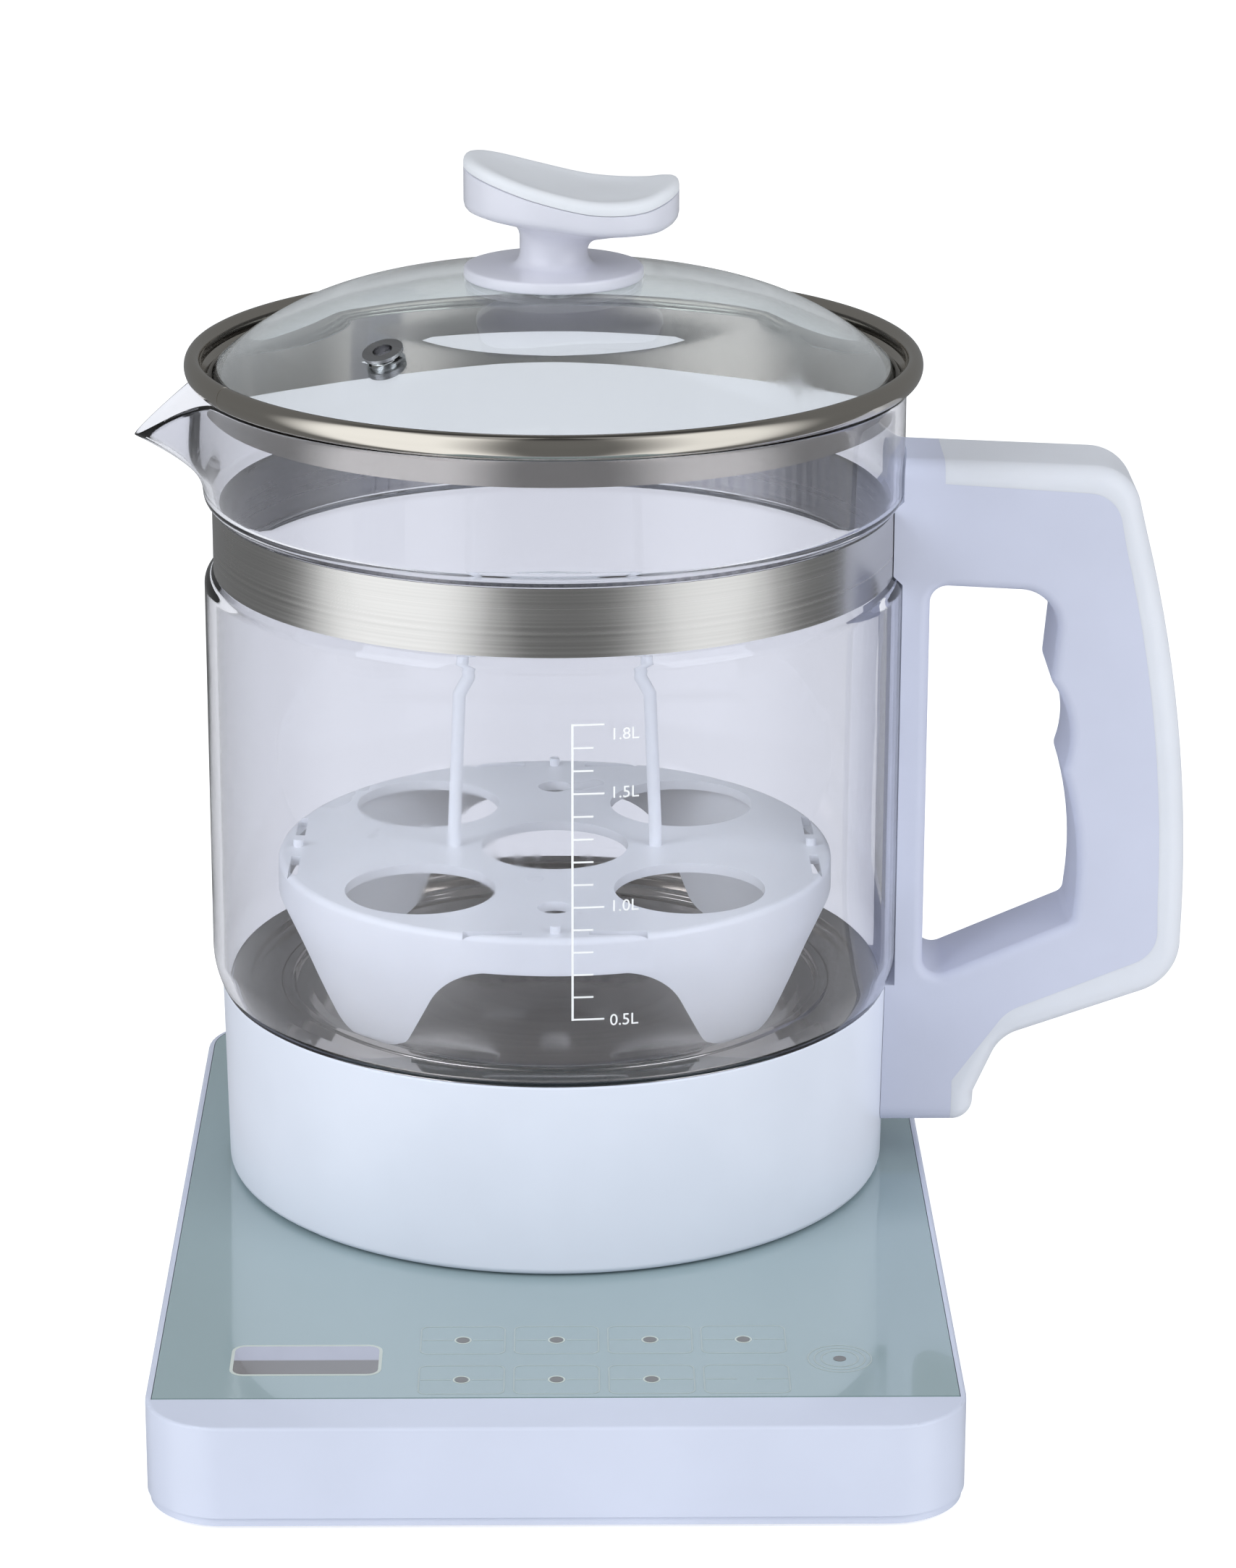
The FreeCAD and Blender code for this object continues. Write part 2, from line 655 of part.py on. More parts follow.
def make_band():
    """Steel band in the groove, closed by a bolt at the handle."""
    ring = turned("band_ring", [
        (groove_radius, band_low + 0.1), (skirt_radius, band_low + 0.1),
        (skirt_radius, band_top - 0.1), (groove_radius, band_top - 0.1)])
    x0 = skirt_radius - 0.3
    lugs = [block(f"band_lug_{index}", x0, x0 + 8, y, number(y) + 1.4, band_low + 2, band_top - 2)
            for index, y in enumerate((-4.4, 3.0))]
    holes = DOC.addObject("Part::Cylinder", "band_lug_hole")
    bind(holes, "Radius", 1.75)
    bind(holes, "Height", 14)
    holes.Placement.Rotation = FreeCAD.Rotation(FreeCAD.Vector(1, 0, 0), -90)
    place(holes, x0 + 4.5, -7, (band_low + band_top) / 2)
    node(cut("steel_band", fuse("band_with_lugs", ring, *lugs), holes))
    bolt = turned("band_bolt", [(0, -2.2), (3.2, -2.2), (3.2, 0), (1.7, 0), (1.7, 11.5), (0, 11.5)])
    nut = turned("band_nut", [(1.72, 8.8), (3.3, 8.8), (3.3, 11), (1.72, 11)])
    for piece in (bolt, nut):
        piece.Placement.Rotation = FreeCAD.Rotation(FreeCAD.Vector(1, 0, 0), -90)
        node(place(piece, x0 + 4.5, -4.4, (band_low + band_top) / 2))


def make_heater():
    """Heating plate, its seal, and what is fixed below it."""
    top, sheet, disc = plate_top, S.plate_sheet, plate_radius
    flange_top = flange_low + sheet
    flange_out = skirt_inner - 0.2
    node(turned("heating_plate", [
        (0, top), (disc - 3, top, -3), (disc, top - 3), (disc, flange_top), (flange_out, flange_top),
        (flange_out, flange_low), (disc - sheet, flange_low), (disc - sheet, top - 3, 2.2),
        (disc - 3, top - sheet), (0, top - sheet)]))
    node(turned("glass_seal", [
        (neck_radius - S.glass_wall - 1, flange_top), (neck_radius, flange_top),
        (neck_radius, skirt_top - S.flange_drop + 0.8),
        (neck_radius - S.glass_wall - 1, skirt_top - S.flange_drop + 0.8)]))
    spreader = turned("heat_spreader", [
        (0, spreader_low), (disc - 5, spreader_low), (disc - 5, top - sheet), (0, top - sheet)])
    node(spreader)
    element = DOC.addObject("Part::Torus", "heating_element")
    bind(element, "Radius1", disc - 22)
    bind(element, "Radius2", 4)
    node(place(element, 0, 0, spreader_low - 4))
    node(cylinder("temperature_sensor", 4.5, spreader_low - 8, spreader_low))
    node(block("thermal_cutout", -9, 9, 14, 26, spreader_low - 8, spreader_low))


def post_spots(count=3):
    """Places of the jug's cover screws, as (x, y)."""
    reach = skirt_inner - 7.5
    angles = [math.radians(60 + 360 / count * index) for index in range(count)]
    return [(reach * math.cos(angle), reach * math.sin(angle)) for angle in angles]


def tail_screw_levels():
    """Heights of the two screws that hold the handle's tail."""
    return (tail_low + 7, tail_low + 20)


def make_jug_housing():
    """White skirt of the jug, with the ledge that carries the heating plate."""
    body = new_body("jug_housing")
    ledge_top = flange_low
    wall = S.skirt_wall
    foot_in = skirt_foot - wall
    turn(body, "skirt_outline", [
        (foot_in, jug_low), (skirt_foot, jug_low), (skirt_radius, skirt_top), (skirt_inner, skirt_top),
        (skirt_inner, ledge_top), (plate_radius + 2, ledge_top), (plate_radius + 2, ledge_top - 2.4),
        (skirt_inner - 0.4, ledge_top - 2.4)])
    soften(body, "skirt_foot_edge", 1.8, [(skirt_foot, 0, jug_low)])
    soften(body, "skirt_top_edge", 0.5, [(skirt_radius, 0, skirt_top)])
    pad(body, "cover_posts", jug_low + 3, ledge_top - 2.0, rounds=[(x, y, 3.6) for x, y in post_spots()])
    pocket(body, "post_holes", jug_low + 3, jug_low + 18,
           rounds=[(x, y, S.screw_radius + 0.05) for x, y in post_spots()])
    side_pocket(body, "tail_screw_holes", "YZ_Plane", 30, skirt_foot - 15,
                rounds=[(0, level, 1.9) for level in tail_screw_levels()])
    node(body)


def make_jug_bottom():
    """Bottom cover, socket, pin and ring contact of the jug."""
    socket = S.coupler_radius + S.socket_play
    body = new_body("jug_bottom_cover")
    rim = skirt_foot - S.skirt_wall - 0.2
    turn(body, "jug_cover_outline", [
        (socket + 7, jug_low + 0.4), (rim, jug_low + 0.4), (rim, jug_low + 2.9), (socket + 7, jug_low + 2.9)])
    pocket(body, "jug_cover_holes", jug_low + 0.4, jug_low + 2.9,
           rounds=[(x, y, S.screw_radius + 0.2) for x, y in post_spots()])
    node(body)
    screws = []
    for index, (x, y) in enumerate(post_spots()):
        head = cylinder(f"jug_screw_head_{index}", S.screw_head, jug_low - 0.1, jug_low + 0.4, x, y)
        shaft = cylinder(f"jug_screw_shaft_{index}", S.screw_radius, jug_low + 0.4, jug_low + 16, x, y)
        screws.append(fuse(f"jug_screw_{index}", head, shaft))
    node(group("jug_screws", screws))
    ceiling = coupler_top + 1.2
    roof = ceiling + 3
    play = S.pin_radius + 0.05
    body = turned("jug_coupler", [
        (play, ceiling), (socket, ceiling), (socket, jug_low + 0.2), (socket + 6.8, jug_low + 0.2),
        (socket + 6.8, jug_low + 2.9), (socket + 8.5, jug_low + 2.9), (socket + 8.5, jug_low + 4.9),
        (socket + 2.5, jug_low + 4.9), (socket + 2.5, roof), (play, roof)])
    node(body)
    tip = base_top - 2
    pin = turned("coupler_pin", [
        (0, tip), (S.pin_radius - 1.2, tip), (S.pin_radius, tip + 1.6), (S.pin_radius, roof + 0.3),
        (S.pin_radius + 2.5, roof + 0.3), (S.pin_radius + 2.5, roof + 2.3), (0, roof + 2.3)])
    node(pin)
    node(turned("jug_contact_ring", [
        (S.ring_radius - 0.5, base_top + 2.4), (S.ring_radius + 0.5, base_top + 2.4),
        (S.ring_radius + 0.5, ceiling), (S.ring_radius - 0.5, ceiling)]))


# ---------------------------------------------------------------------------------------------
# handle
# ---------------------------------------------------------------------------------------------
def side_form(name, corners, width):
    """Plate of a side outline (x, z), centred on the XZ plane."""
    body = new_body(name)
    sketch = new_sketch(body, name + "_outline")
    outline(sketch, corners)
    feature = body.newObject("PartDesign::Pad", name + "_pad")
    feature.Profile = sketch
    feature.SideType = "Symmetric"
    bind(feature, "Length", width)
    DOC.recompute()
    return body


def between(share):
    """Height part of the way from the skirt's top to the band."""
    return skirt_top + (band_low - skirt_top) * share


def make_handle():
    """Hard loop and the soft grip moulded round its outside."""
    hand = S.glass_radius
    reach = hand + S.handle_reach
    top = band_top + 11.7
    tail = tail_low
    soft = S.handle_soft
    inner = hand - 6
    wide = S.handle_width
    shoulder = (reach - 14.9, top - 2.5)
    back_high, back_low = (reach - 11.2, band_low + 9.5), (reach, between(0.11))
    heel = (reach, skirt_top + 0.3)
    crook = (hand + 24.5, skirt_top - 14.2)
    form = side_form("handle_form", [
        (inner, top), shoulder, back_high + (-340,), back_low, heel, crook,
        (hand + 18.4, tail + 7), (hand + 18.2, tail), (inner, tail)], wide)
    soften(form, "handle_shoulder", 11, [(shoulder[0], 0, shoulder[1])])
    soften(form, "handle_heel", 13, [(heel[0], 0, heel[1])])
    soften(form, "handle_crook", 10, [(crook[0], 0, crook[1])])
    soften(form, "handle_tail_edge", 5, [(hand + 18.2, 0, tail)])
    soften_sides(form, "handle_edges", 4.5, wide, inner + 1)
    side = wide * 2
    edge_high, edge_low = (reach - 16.2, band_low + 6.5), (reach - 6.1, between(0.2))
    split = side_form("handle_split", [
        (inner - 5, top + 8), (hand + 8.3, top + 8), (hand + 8.3, top - soft), (reach - 18.6, top - soft - 2.7),
        edge_high + (-340,), edge_low, (reach - 5.7, skirt_top + 7.5), (hand + 25.5, skirt_top - 6.7),
        (hand + 13, tail + 11), (hand + 12.8, tail - 8), (inner - 5, tail - 8)], side)
    soften(split, "split_shoulder", 8, [(reach - 18.6, 0, top - soft - 2.7)])
    soften(split, "split_heel", 8, [(reach - 5.7, 0, skirt_top + 7.5)])
    soften(split, "split_crook", 10, [(hand + 25.5, 0, skirt_top - 6.7)])
    left, right = hand + 5.5, reach - 30.6
    bump_high, bump_low = (reach - 32.4, between(0.745)), (reach - 29.1, between(0.525))
    side_pocket(form, "handle_window", "XZ_Plane", side, both=True, corners=[
        (left, band_low - 2.5), (right, band_low - 4.1), bump_high + (-22.8,), bump_low + (-78.8,),
        (reach - 25.7, skirt_top + 18), (reach - 26.0, skirt_top + 15.2), (left, skirt_top + 0.2)])
    soften(form, "window_corner_high", 9, [(right, 0, band_low - 4.1)])
    soften(form, "window_bumps", 3, [(bump_high[0], 0, bump_high[1]), (bump_low[0], 0, bump_low[1])])
    soften(form, "window_corner_low", 2.5, [(reach - 26.0, 0, skirt_top + 15.2)])
    soften(form, "window_corner_left", 4, [(left, 0, band_low - 2.5), (left, 0, skirt_top + 0.2)])
    soften_sides(form, "window_edges", 2.5, wide, left - 1, reach - 24)
    air = S.fit_gap
    jug_room = turned("handle_jug_room", [
        (0, jug_low - 5), (skirt_foot + 0.05, jug_low - 5), (skirt_foot + 0.05, jug_low),
        (skirt_radius + 0.05, skirt_top), (hand + air, skirt_top), (hand + air, band_low - S.band_sink),
        (skirt_radius + air, band_low), (skirt_radius + air, band_top),
        (hand + air, band_top + S.band_sink), (hand + air, glass_top), (0, glass_top)])
    bolt_room = block("bolt_room", hand - 6, skirt_radius + 10.5, -9.5, 9.5, band_low - 1, band_top + 1)
    screw_rooms = []
    for index, level in enumerate(tail_screw_levels()):
        room = DOC.addObject("Part::Cylinder", f"tail_screw_room_{index}")
        bind(room, "Radius", 1.85)
        bind(room, "Height", 14)
        room.Placement.Rotation = FreeCAD.Rotation(FreeCAD.Vector(0, 1, 0), 90)
        screw_rooms.append(place(room, skirt_foot - 2, 0, level))
    inner_part = common("handle_inner_part", form, split)
    node(cut("handle_shell", inner_part, jug_room, bolt_room, *screw_rooms))
    node(cut("handle_grip", form, split))
    screws = []
    for index, level in enumerate(tail_screw_levels()):
        start = skirt_foot - S.skirt_wall - 2.4
        pieces = []
        for label, radius, length in (("head", 3.2, 2.0), ("shaft", 1.8, 15.0)):
            piece = DOC.addObject("Part::Cylinder", f"handle_screw_{label}_{index}")
            bind(piece, "Radius", radius)
            bind(piece, "Height", length)
            piece.Placement.Rotation = FreeCAD.Rotation(FreeCAD.Vector(0, 1, 0), 90)
            pieces.append(place(piece, start, 0, level))
        screws.append(fuse(f"handle_screw_{index}", *pieces))
    node(group("handle_screws", screws))


# ---------------------------------------------------------------------------------------------
# lid
# ---------------------------------------------------------------------------------------------
class Dome:
    """Arcs of the lid's glass: a wide crown that runs into a tighter knuckle."""

    def __init__(self):
        self.edge_radius = S.glass_radius - 1.9
        self.edge_low = lid_low + S.rim_sheet
        self.knuckle_reach = self.edge_radius - S.dome_knuckle * S.dome_slope
        rise = root(S.dome_knuckle * S.dome_knuckle * (1 - S.dome_slope.value ** 2))
        self.knuckle_level = self.edge_low + 0.4 - rise
        gap = S.dome_crown - S.dome_knuckle
        self.crown_level = self.knuckle_level - root(gap * gap - self.knuckle_reach * self.knuckle_reach)
        self.apex = self.crown_level + S.dome_crown
        self.ratio = self.knuckle_reach / gap

    def joint(self, inset):
        """Where crown and knuckle meet, on a surface that lies inset below the outer one."""
        radius = S.dome_crown - inset
        x = self.ratio * radius
        return x, self.crown_level + root(radius * radius - x * x)

    def inner_edge(self):
        """Radius at which the inner surface reaches the dome's lower edge."""
        radius = S.dome_knuckle - S.dome_glass
        drop = self.edge_low - self.knuckle_level
        return self.knuckle_reach + root(radius * radius - drop * drop)

    def level(self, radius, inset=0):
        """Height of the surface over a radius on the crown."""
        ball = S.dome_crown - inset
        return self.crown_level + root(ball * ball - number(radius) * radius)


def make_lid():
    """Dome glass, rolled steel rim and steam vent."""
    dome = Dome()
    outer_joint, inner_joint = dome.joint(0), dome.joint(S.dome_glass)
    hole = number(4.0)
    glass = turned("lid_glass_body", [
        (hole, dome.level(hole, S.dome_glass)) + (-(S.dome_crown - S.dome_glass),),
        inner_joint + (-(S.dome_knuckle - S.dome_glass),), (dome.inner_edge(), dome.edge_low),
        (dome.edge_radius, dome.edge_low), (dome.edge_radius, dome.edge_low + 0.4) + (S.dome_knuckle,),
        outer_joint + (S.dome_crown,), (hole, dome.level(hole))])
    place_x = (dome.edge_radius - S.vent_inset).value
    slope = math.asin((place_x - dome.knuckle_reach.value) / S.dome_knuckle.value)
    level = dome.knuckle_level.value + S.dome_knuckle.value * math.cos(slope)
    heading = math.radians(-130.3)
    lean = FreeCAD.Rotation(FreeCAD.Vector(-math.sin(heading), math.cos(heading), 0), math.degrees(slope))
    spot = FreeCAD.Vector(place_x * math.cos(heading), place_x * math.sin(heading), level)
    at_vent = FreeCAD.Placement(spot, lean)
    drill = DOC.addObject("Part::Cylinder", "vent_drill")
    bind(drill, "Radius", S.vent_radius + 0.1)
    bind(drill, "Height", 30)
    drill.Placement = at_vent.multiply(FreeCAD.Placement(FreeCAD.Vector(0, 0, -15), FreeCAD.Rotation()))
    node(cut("lid_glass", glass, drill))
    bore, wall, glass_thick = S.vent_radius - 1.0, S.vent_radius, S.dome_glass
    vent = turned("vent_grommet", [
        (bore, -(glass_thick + 1.6)), (wall + 1.2, -(glass_thick + 1.6)), (wall + 1.2, -(glass_thick + 0.5)),
        (wall, -(glass_thick + 0.5)), (wall, 0.35), (S.vent_flange, 0.35), (S.vent_flange, 1.1), (bore, 1.1)])
    vent.Placement = at_vent
    node(vent)
    rim, sheet, roll = rim_radius, S.rim_sheet, S.rim_roll
    skirt_out = S.glass_radius - S.glass_wall - 1.0
    roll_low = lid_low + 0.9
    body = turned("lid_rim", [
        (skirt_out - sheet, lid_low - S.rim_skirt), (skirt_out, lid_low - S.rim_skirt), (skirt_out, lid_low),
        (rim - 2.6, lid_low), (rim - 2.6, roll_low), (rim, roll_low), (rim, roll_low + roll),
        (dome.edge_radius + 0.2, roll_low + roll), (dome.edge_radius + 0.2, dome.edge_low),
        (skirt_out - sheet, dome.edge_low)])
    soften(body, "roll_edges", 2.2, [(rim, 0, roll_low), (rim, 0, roll_low + roll)])
    soften(body, "roll_inner_edge", 2.0, [(dome.edge_radius + 0.2, 0, roll_low + roll)])
    node(body)
    make_knob(dome)


def make_knob(dome):
    """Two-part knob with gasket, washer and screw."""
    apex, foot, neck = dome.apex, S.knob_foot, S.knob_neck
    gasket_top = apex + 0.6
    inner_apex = apex - S.dome_glass
    node(turned("knob_gasket", [(4.4, apex), (14, apex), (14, gasket_top), (4.4, gasket_top)]))
    node(turned("knob_washer", [(S.knob_screw + 0.3, inner_apex - 1.3), (9, inner_apex - 1.3),
                                (9, inner_apex - 0.3), (S.knob_screw + 0.3, inner_apex - 0.3)]))
    screw_low = inner_apex - 1.3
    node(turned("knob_screw", [
        (0, screw_low - 2.2), (4.5, screw_low - 2.2), (4.5, screw_low), (S.knob_screw, screw_low),
        (S.knob_screw, apex + 14), (0, apex + 14)]))
    low, high = apex + S.knob_low, apex + S.knob_high
    bore = S.knob_screw + 0.05
    stem = turned("knob_stem", [
        (bore, gasket_top), (foot - 2.5, gasket_top), (foot - 1.5, apex - 0.5), (foot, apex - 0.5),
        (foot, apex + 0.9), (foot - 1.2, apex + 1.6), (neck + 4, apex + 2.4), (neck, apex + 4.6),
        (neck, low - 2), (neck + 3, low + 0.5), (bore, low + 0.5)])
    x0 = S.knob_offset - S.knob_length / 2
    x1 = S.knob_offset + S.knob_length / 2
    grip_form = side_form("knob_form", [
        (x0 + 3, low + 5.5), (x0 + 11, low + 2.4), (S.knob_offset, low), (x1 - 6, low), (x1, low + 4.5),
        (x1, low + 10.5), (x1 - 2.5, low + 12.3), (S.knob_offset + 10, low + 10.7),
        (S.knob_offset - 8, low + 13.9), (x0 + 5, high), (x0 + 1.5, high - 1.5), (x0, high - 5),
        (x0, low + 9)], S.knob_width * 2)
    plan = DOC.addObject("Part::Ellipse", "knob_plan_curve")
    bind(plan, "MajorRadius", S.knob_length / 2)
    bind(plan, "MinorRadius", S.knob_width / 2)
    place(plan, S.knob_offset, 0, low - 5)
    prism = DOC.addObject("Part::Extrusion", "knob_plan")
    prism.Base = plan
    prism.DirMode = "Custom"
    prism.Dir = FreeCAD.Vector(0, 0, 1)
    bind(prism, "LengthFwd", 40)
    prism.Solid = True
    head = common("knob_head", grip_form, prism)
    part_line = [
        (x0 - 5, high - 2.2), (x0, high - 2.9), (S.knob_offset - 9, low + 10.6), (S.knob_offset + 4, low + 7.8),
        (S.knob_offset + 14, low + 7.4), (x1 - 2, low + 9.0), (x1 + 5, low + 10.8), (x1 + 5, high + 9),
        (x0 - 5, high + 9)]
    upper = side_form("knob_upper_room", part_line, S.knob_width * 3)
    node(common("knob_cap", head, upper))
    bore_tool = cylinder("knob_bore", bore, gasket_top - 1, apex + 14.2)
    lower = cut("knob_lower_half", head, upper)
    node(cut("knob_body", fuse("knob_body_solid", lower, stem), bore_tool))


# ---------------------------------------------------------------------------------------------
# egg tray
# ---------------------------------------------------------------------------------------------
def make_tray():
    """Tray on four legs, with its lifter."""
    low, top = plate_top, plate_top + S.tray_height
    radius, wall, taper = tray_radius, S.tray_wall, S.tray_taper
    foot = radius - taper
    body = new_body("egg_tray")
    turn(body, "tray_outline", [
        (0, top - wall), (radius - wall, top - wall), (radius - wall, top - 9),
        (foot - wall, low), (foot, low), (radius, top - 8), (radius, top), (0, top)])
    soften(body, "tray_edge", 1.6, [(radius, 0, top)])
    toe, heel, crest = S.arch_foot + 3.2, S.arch_foot - 3.2, low + S.arch_height
    arch = [(-toe, low - 3), (toe, low - 3), (toe, low, -7), (heel, low + 4.2),
            (S.arch_top + 6, low + S.arch_height * 0.62, 16), (S.arch_top - 6, crest),
            (-(S.arch_top - 6), crest, 16), (-(S.arch_top + 6), low + S.arch_height * 0.62),
            (-heel, low + 4.2, -7), (-toe, low)]
    for role in ("XZ_Plane", "YZ_Plane"):
        side_pocket(body, "arch_" + role[:2], role, radius * 3, corners=arch, both=True)
    aside = (radius - S.egg_hole - S.egg_margin) * math.sqrt(0.5)
    eggs = [(0, 0)] + [(x, y) for x in (-aside, aside) for y in (-aside, aside)]
    rounds = [(x, y, S.egg_hole) for x, y in eggs]
    steam = radius - S.steam_inset
    rounds += [(0, -steam, S.steam_hole), (0, steam, S.steam_hole)]
    pocket(body, "egg_holes", top - wall, top, rounds=rounds)
    slot_in, slot_out = radius - 5.6, radius - 3.4
    slots = [pocket(body, f"slot_{label}", top - wall, top, box_corners(x0, x1, -slot_out, -slot_in))
             for label, x0, x1 in (("left", -20.5, -7.5), ("right", 7.5, 20.5))]
    around(body, slots, "slot_pattern", 4)
    pin = pad(body, "rim_pin", top, top + 1.8, rounds=[(0, -(radius - 4.6), 1.2)])
    around(body, [pin], "pin_pattern", 4)
    node(body)
    side, rod = S.egg_hole + S.lifter_margin, S.lifter_rod
    high = top + S.lifter_rise - 3.5
    lean = side - 3.6
    rod_body = new_body("lifter_frame")
    path = new_sketch(rod_body, "lifter_path")
    half = [(side, top), (side, top + 4), (side - 1.4, top + 37),
            (lean, top + 41), (lean, high - 6), (lean - 6, high)]
    spots = half + [(-x, z) for x, z in reversed(half)]
    last = None
    for index, (start, stop) in enumerate(zip(spots[:-1], spots[1:])):
        ends = [FreeCAD.Vector(number(x).value, number(z).value, 0) for x, z in (start, stop)]
        curve = path.addGeometry(Part.LineSegment(*ends), False)
        bind_point(path, curve, 1, start)
        if last is not None:
            path.addConstraint(Sketcher.Constraint("Coincident", last, 2, curve, 1))
        last = curve
    bind_point(path, last, 2, spots[-1])
    profile = new_sketch(rod_body, "lifter_section", "XY_Plane", top)
    circles(profile, [(side, 0, rod)])
    pipe = rod_body.newObject("PartDesign::AdditivePipe", "lifter_pipe")
    pipe.Profile = profile
    pipe.Spine = path
    pipe.Transition = "Round corner"
    DOC.recompute()
    node(rod_body)
    disc = turned("lifter_disc", [
        (0, high + rod), (S.lifter_disc, high + rod), (S.lifter_disc, high + rod + 2), (0, high + rod + 2)])
    soften(disc, "disc_edge", 0.7, [(S.lifter_disc, 0, high + rod + 2)])
    node(disc)


def check():
    """Stop unless every object is sound and every piece is closed and valid."""
    DOC.recompute()
    broken = [item.Name for item in DOC.Objects if {"Invalid", "Error"} & set(item.State)]
    if broken:
        raise RuntimeError("not computed: " + ", ".join(broken))
    for item in NODES:
        shape = item.Shape
        if shape.isNull() or not shape.isValid() or not shape.Solids:
            raise RuntimeError(f"{item.Label} has no valid solid")
        print(f"{item.Label}: {len(shape.Solids)} solid(s), {shape.Volume:.0f} mm3")


def export():
    """Write each piece to its own file."""
    os.makedirs("parts", exist_ok=True)
    for item in NODES:
        item.Shape.exportStep(os.path.join("parts", item.Label + ".step"))


for make in (make_base_housing, make_base_cover, make_base_small_parts, make_panel, make_controls,
             make_power_parts, make_cord_gland, make_base_coupler, make_jug_glass, make_band,
             make_heater, make_jug_housing, make_jug_bottom, make_handle, make_lid, make_tray):
    make()
check()
export()
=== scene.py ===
"""Looks of a glass egg cooker that stands on a base with a touch panel.

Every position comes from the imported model. Each sub-assembly is a class: its fields are its sizes in
metres, and its methods build its meshes and dress them. The finishes are shared by all of them.
"""

from __future__ import annotations

import logging
import math
from dataclasses import dataclass
from enum import Enum
from typing import Callable, Optional, Sequence, Union

import bmesh
import bpy
from mathutils import Matrix, Vector


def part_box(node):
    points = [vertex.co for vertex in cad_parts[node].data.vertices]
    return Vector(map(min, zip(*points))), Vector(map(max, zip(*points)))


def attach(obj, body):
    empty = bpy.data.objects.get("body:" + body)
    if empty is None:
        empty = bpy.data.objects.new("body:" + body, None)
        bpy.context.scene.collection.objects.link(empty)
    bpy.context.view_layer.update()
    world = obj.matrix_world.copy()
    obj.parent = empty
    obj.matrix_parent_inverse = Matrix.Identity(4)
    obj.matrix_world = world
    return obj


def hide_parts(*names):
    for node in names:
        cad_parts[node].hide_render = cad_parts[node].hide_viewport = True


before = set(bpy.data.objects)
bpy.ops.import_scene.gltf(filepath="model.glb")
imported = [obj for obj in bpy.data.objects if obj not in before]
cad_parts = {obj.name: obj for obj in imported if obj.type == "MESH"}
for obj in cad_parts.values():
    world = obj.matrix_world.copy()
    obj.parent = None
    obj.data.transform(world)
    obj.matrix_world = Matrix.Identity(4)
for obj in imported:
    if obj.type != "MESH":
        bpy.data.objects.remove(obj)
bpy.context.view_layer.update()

LOG = logging.getLogger("egg_cooker")

Colour = tuple[float, float, float]
Corner = tuple[float, ...]
Value = Union[bpy.types.NodeSocket, float, int, bool, Sequence[float]]

PRINT_THICKNESS = 0.00005
PRINT_LIFT = 0.00003
WELD_DISTANCE = 0.000002
COPY_CREASE = 32.0
CORNER_STEPS = 5
CIRCLE_STEPS = 40
DISC_SIDES = 28


class Body(Enum):
    """The moving groups that pieces ride on."""

    BASE = "base"
    COUPLER = "coupler"
    JUG = "jug"
    TRAY = "tray"
    LID = "lid"


def linear(red: int, green: int, blue: int) -> Colour:
    """Turns display values of 0 to 255 into linear colour.

    Args:
        red: Red display value.
        green: Green display value.
        blue: Blue display value.

    Returns:
        The colour as three linear shares.
    """

    def channel(value: int) -> float:
        share = value / 255
        return share / 12.92 if share <= 0.04045 else ((share + 0.055) / 1.055) ** 2.4

    return channel(red), channel(green), channel(blue)


def shaded(colour: Colour, share: float) -> tuple[float, float, float, float]:
    """Returns the colour scaled by share, with full alpha."""
    return tuple(min(1.0, part * share) for part in colour) + (1.0,)


# ---------------------------------------------------------------------------------------------
# node trees
# ---------------------------------------------------------------------------------------------
class NodeGraph:
    """Short calls that add and link the nodes of one tree."""

    def __init__(self, tree: bpy.types.NodeTree) -> None:
        """Keeps the tree that nodes are added to."""
        self.tree = tree

    def add(self, kind: str, inputs: Optional[dict] = None, **settings: object) -> bpy.types.Node:
        """Adds a node.

        Args:
            kind: The node's type name.
            inputs: Values or sockets for its inputs, by name or number.
            settings: The node's own properties.

        Returns:
            The new node.
        """
        node = self.tree.nodes.new(kind)
        for name, setting in settings.items():
            setattr(node, name, setting)
        for key, value in (inputs or {}).items():
            self.feed(node.inputs[key], value)
        return node

    def feed(self, socket: bpy.types.NodeSocket, value: Value) -> None:
        """Links value into socket if it is a socket, and sets it otherwise."""
        if isinstance(value, bpy.types.NodeSocket):
            self.tree.links.new(value, socket)
        else:
            socket.default_value = value

    def math(self, operation: str, first: Value, second: Value = 0.0) -> bpy.types.NodeSocket:
        """Returns the result of a Math node."""
        kind = "ShaderNodeMath"
        return self.add(kind, {0: first, 1: second}, operation=operation).outputs[0]

    def combine(self, x: Value, y: Value, z: Value) -> bpy.types.NodeSocket:
        """Returns a vector made of three values."""
        return self.add("ShaderNodeCombineXYZ", {0: x, 1: y, 2: z}).outputs[0]

    def ramp(self, value: Value, low: float, high: float, start: float = 0.0, end: float = 1.0,
             smooth: bool = False) -> bpy.types.NodeSocket:
        """Maps value from low..high to start..end, clamped.

        Args:
            value: What is mapped.
            low: The value that gives start.
            high: The value that gives end.
            start: The result at low.
            end: The result at high.
            smooth: Eases both ends.

        Returns:
            The mapped value's socket.
        """
        kind = "SMOOTHSTEP" if smooth else "LINEAR"
        node = self.add("ShaderNodeMapRange", {0: value, 1: low, 2: high, 3: start, 4: end},
                        interpolation_type=kind)
        return node.outputs[0]

    def blend(self, factor: Value, first: Value, second: Value) -> bpy.types.NodeSocket:
        """Returns a mix of two colours."""
        node = self.add("ShaderNodeMix", data_type="RGBA")
        self.feed(node.inputs[0], factor)
        self.feed(node.inputs[6], first)
        self.feed(node.inputs[7], second)
        return node.outputs[2]


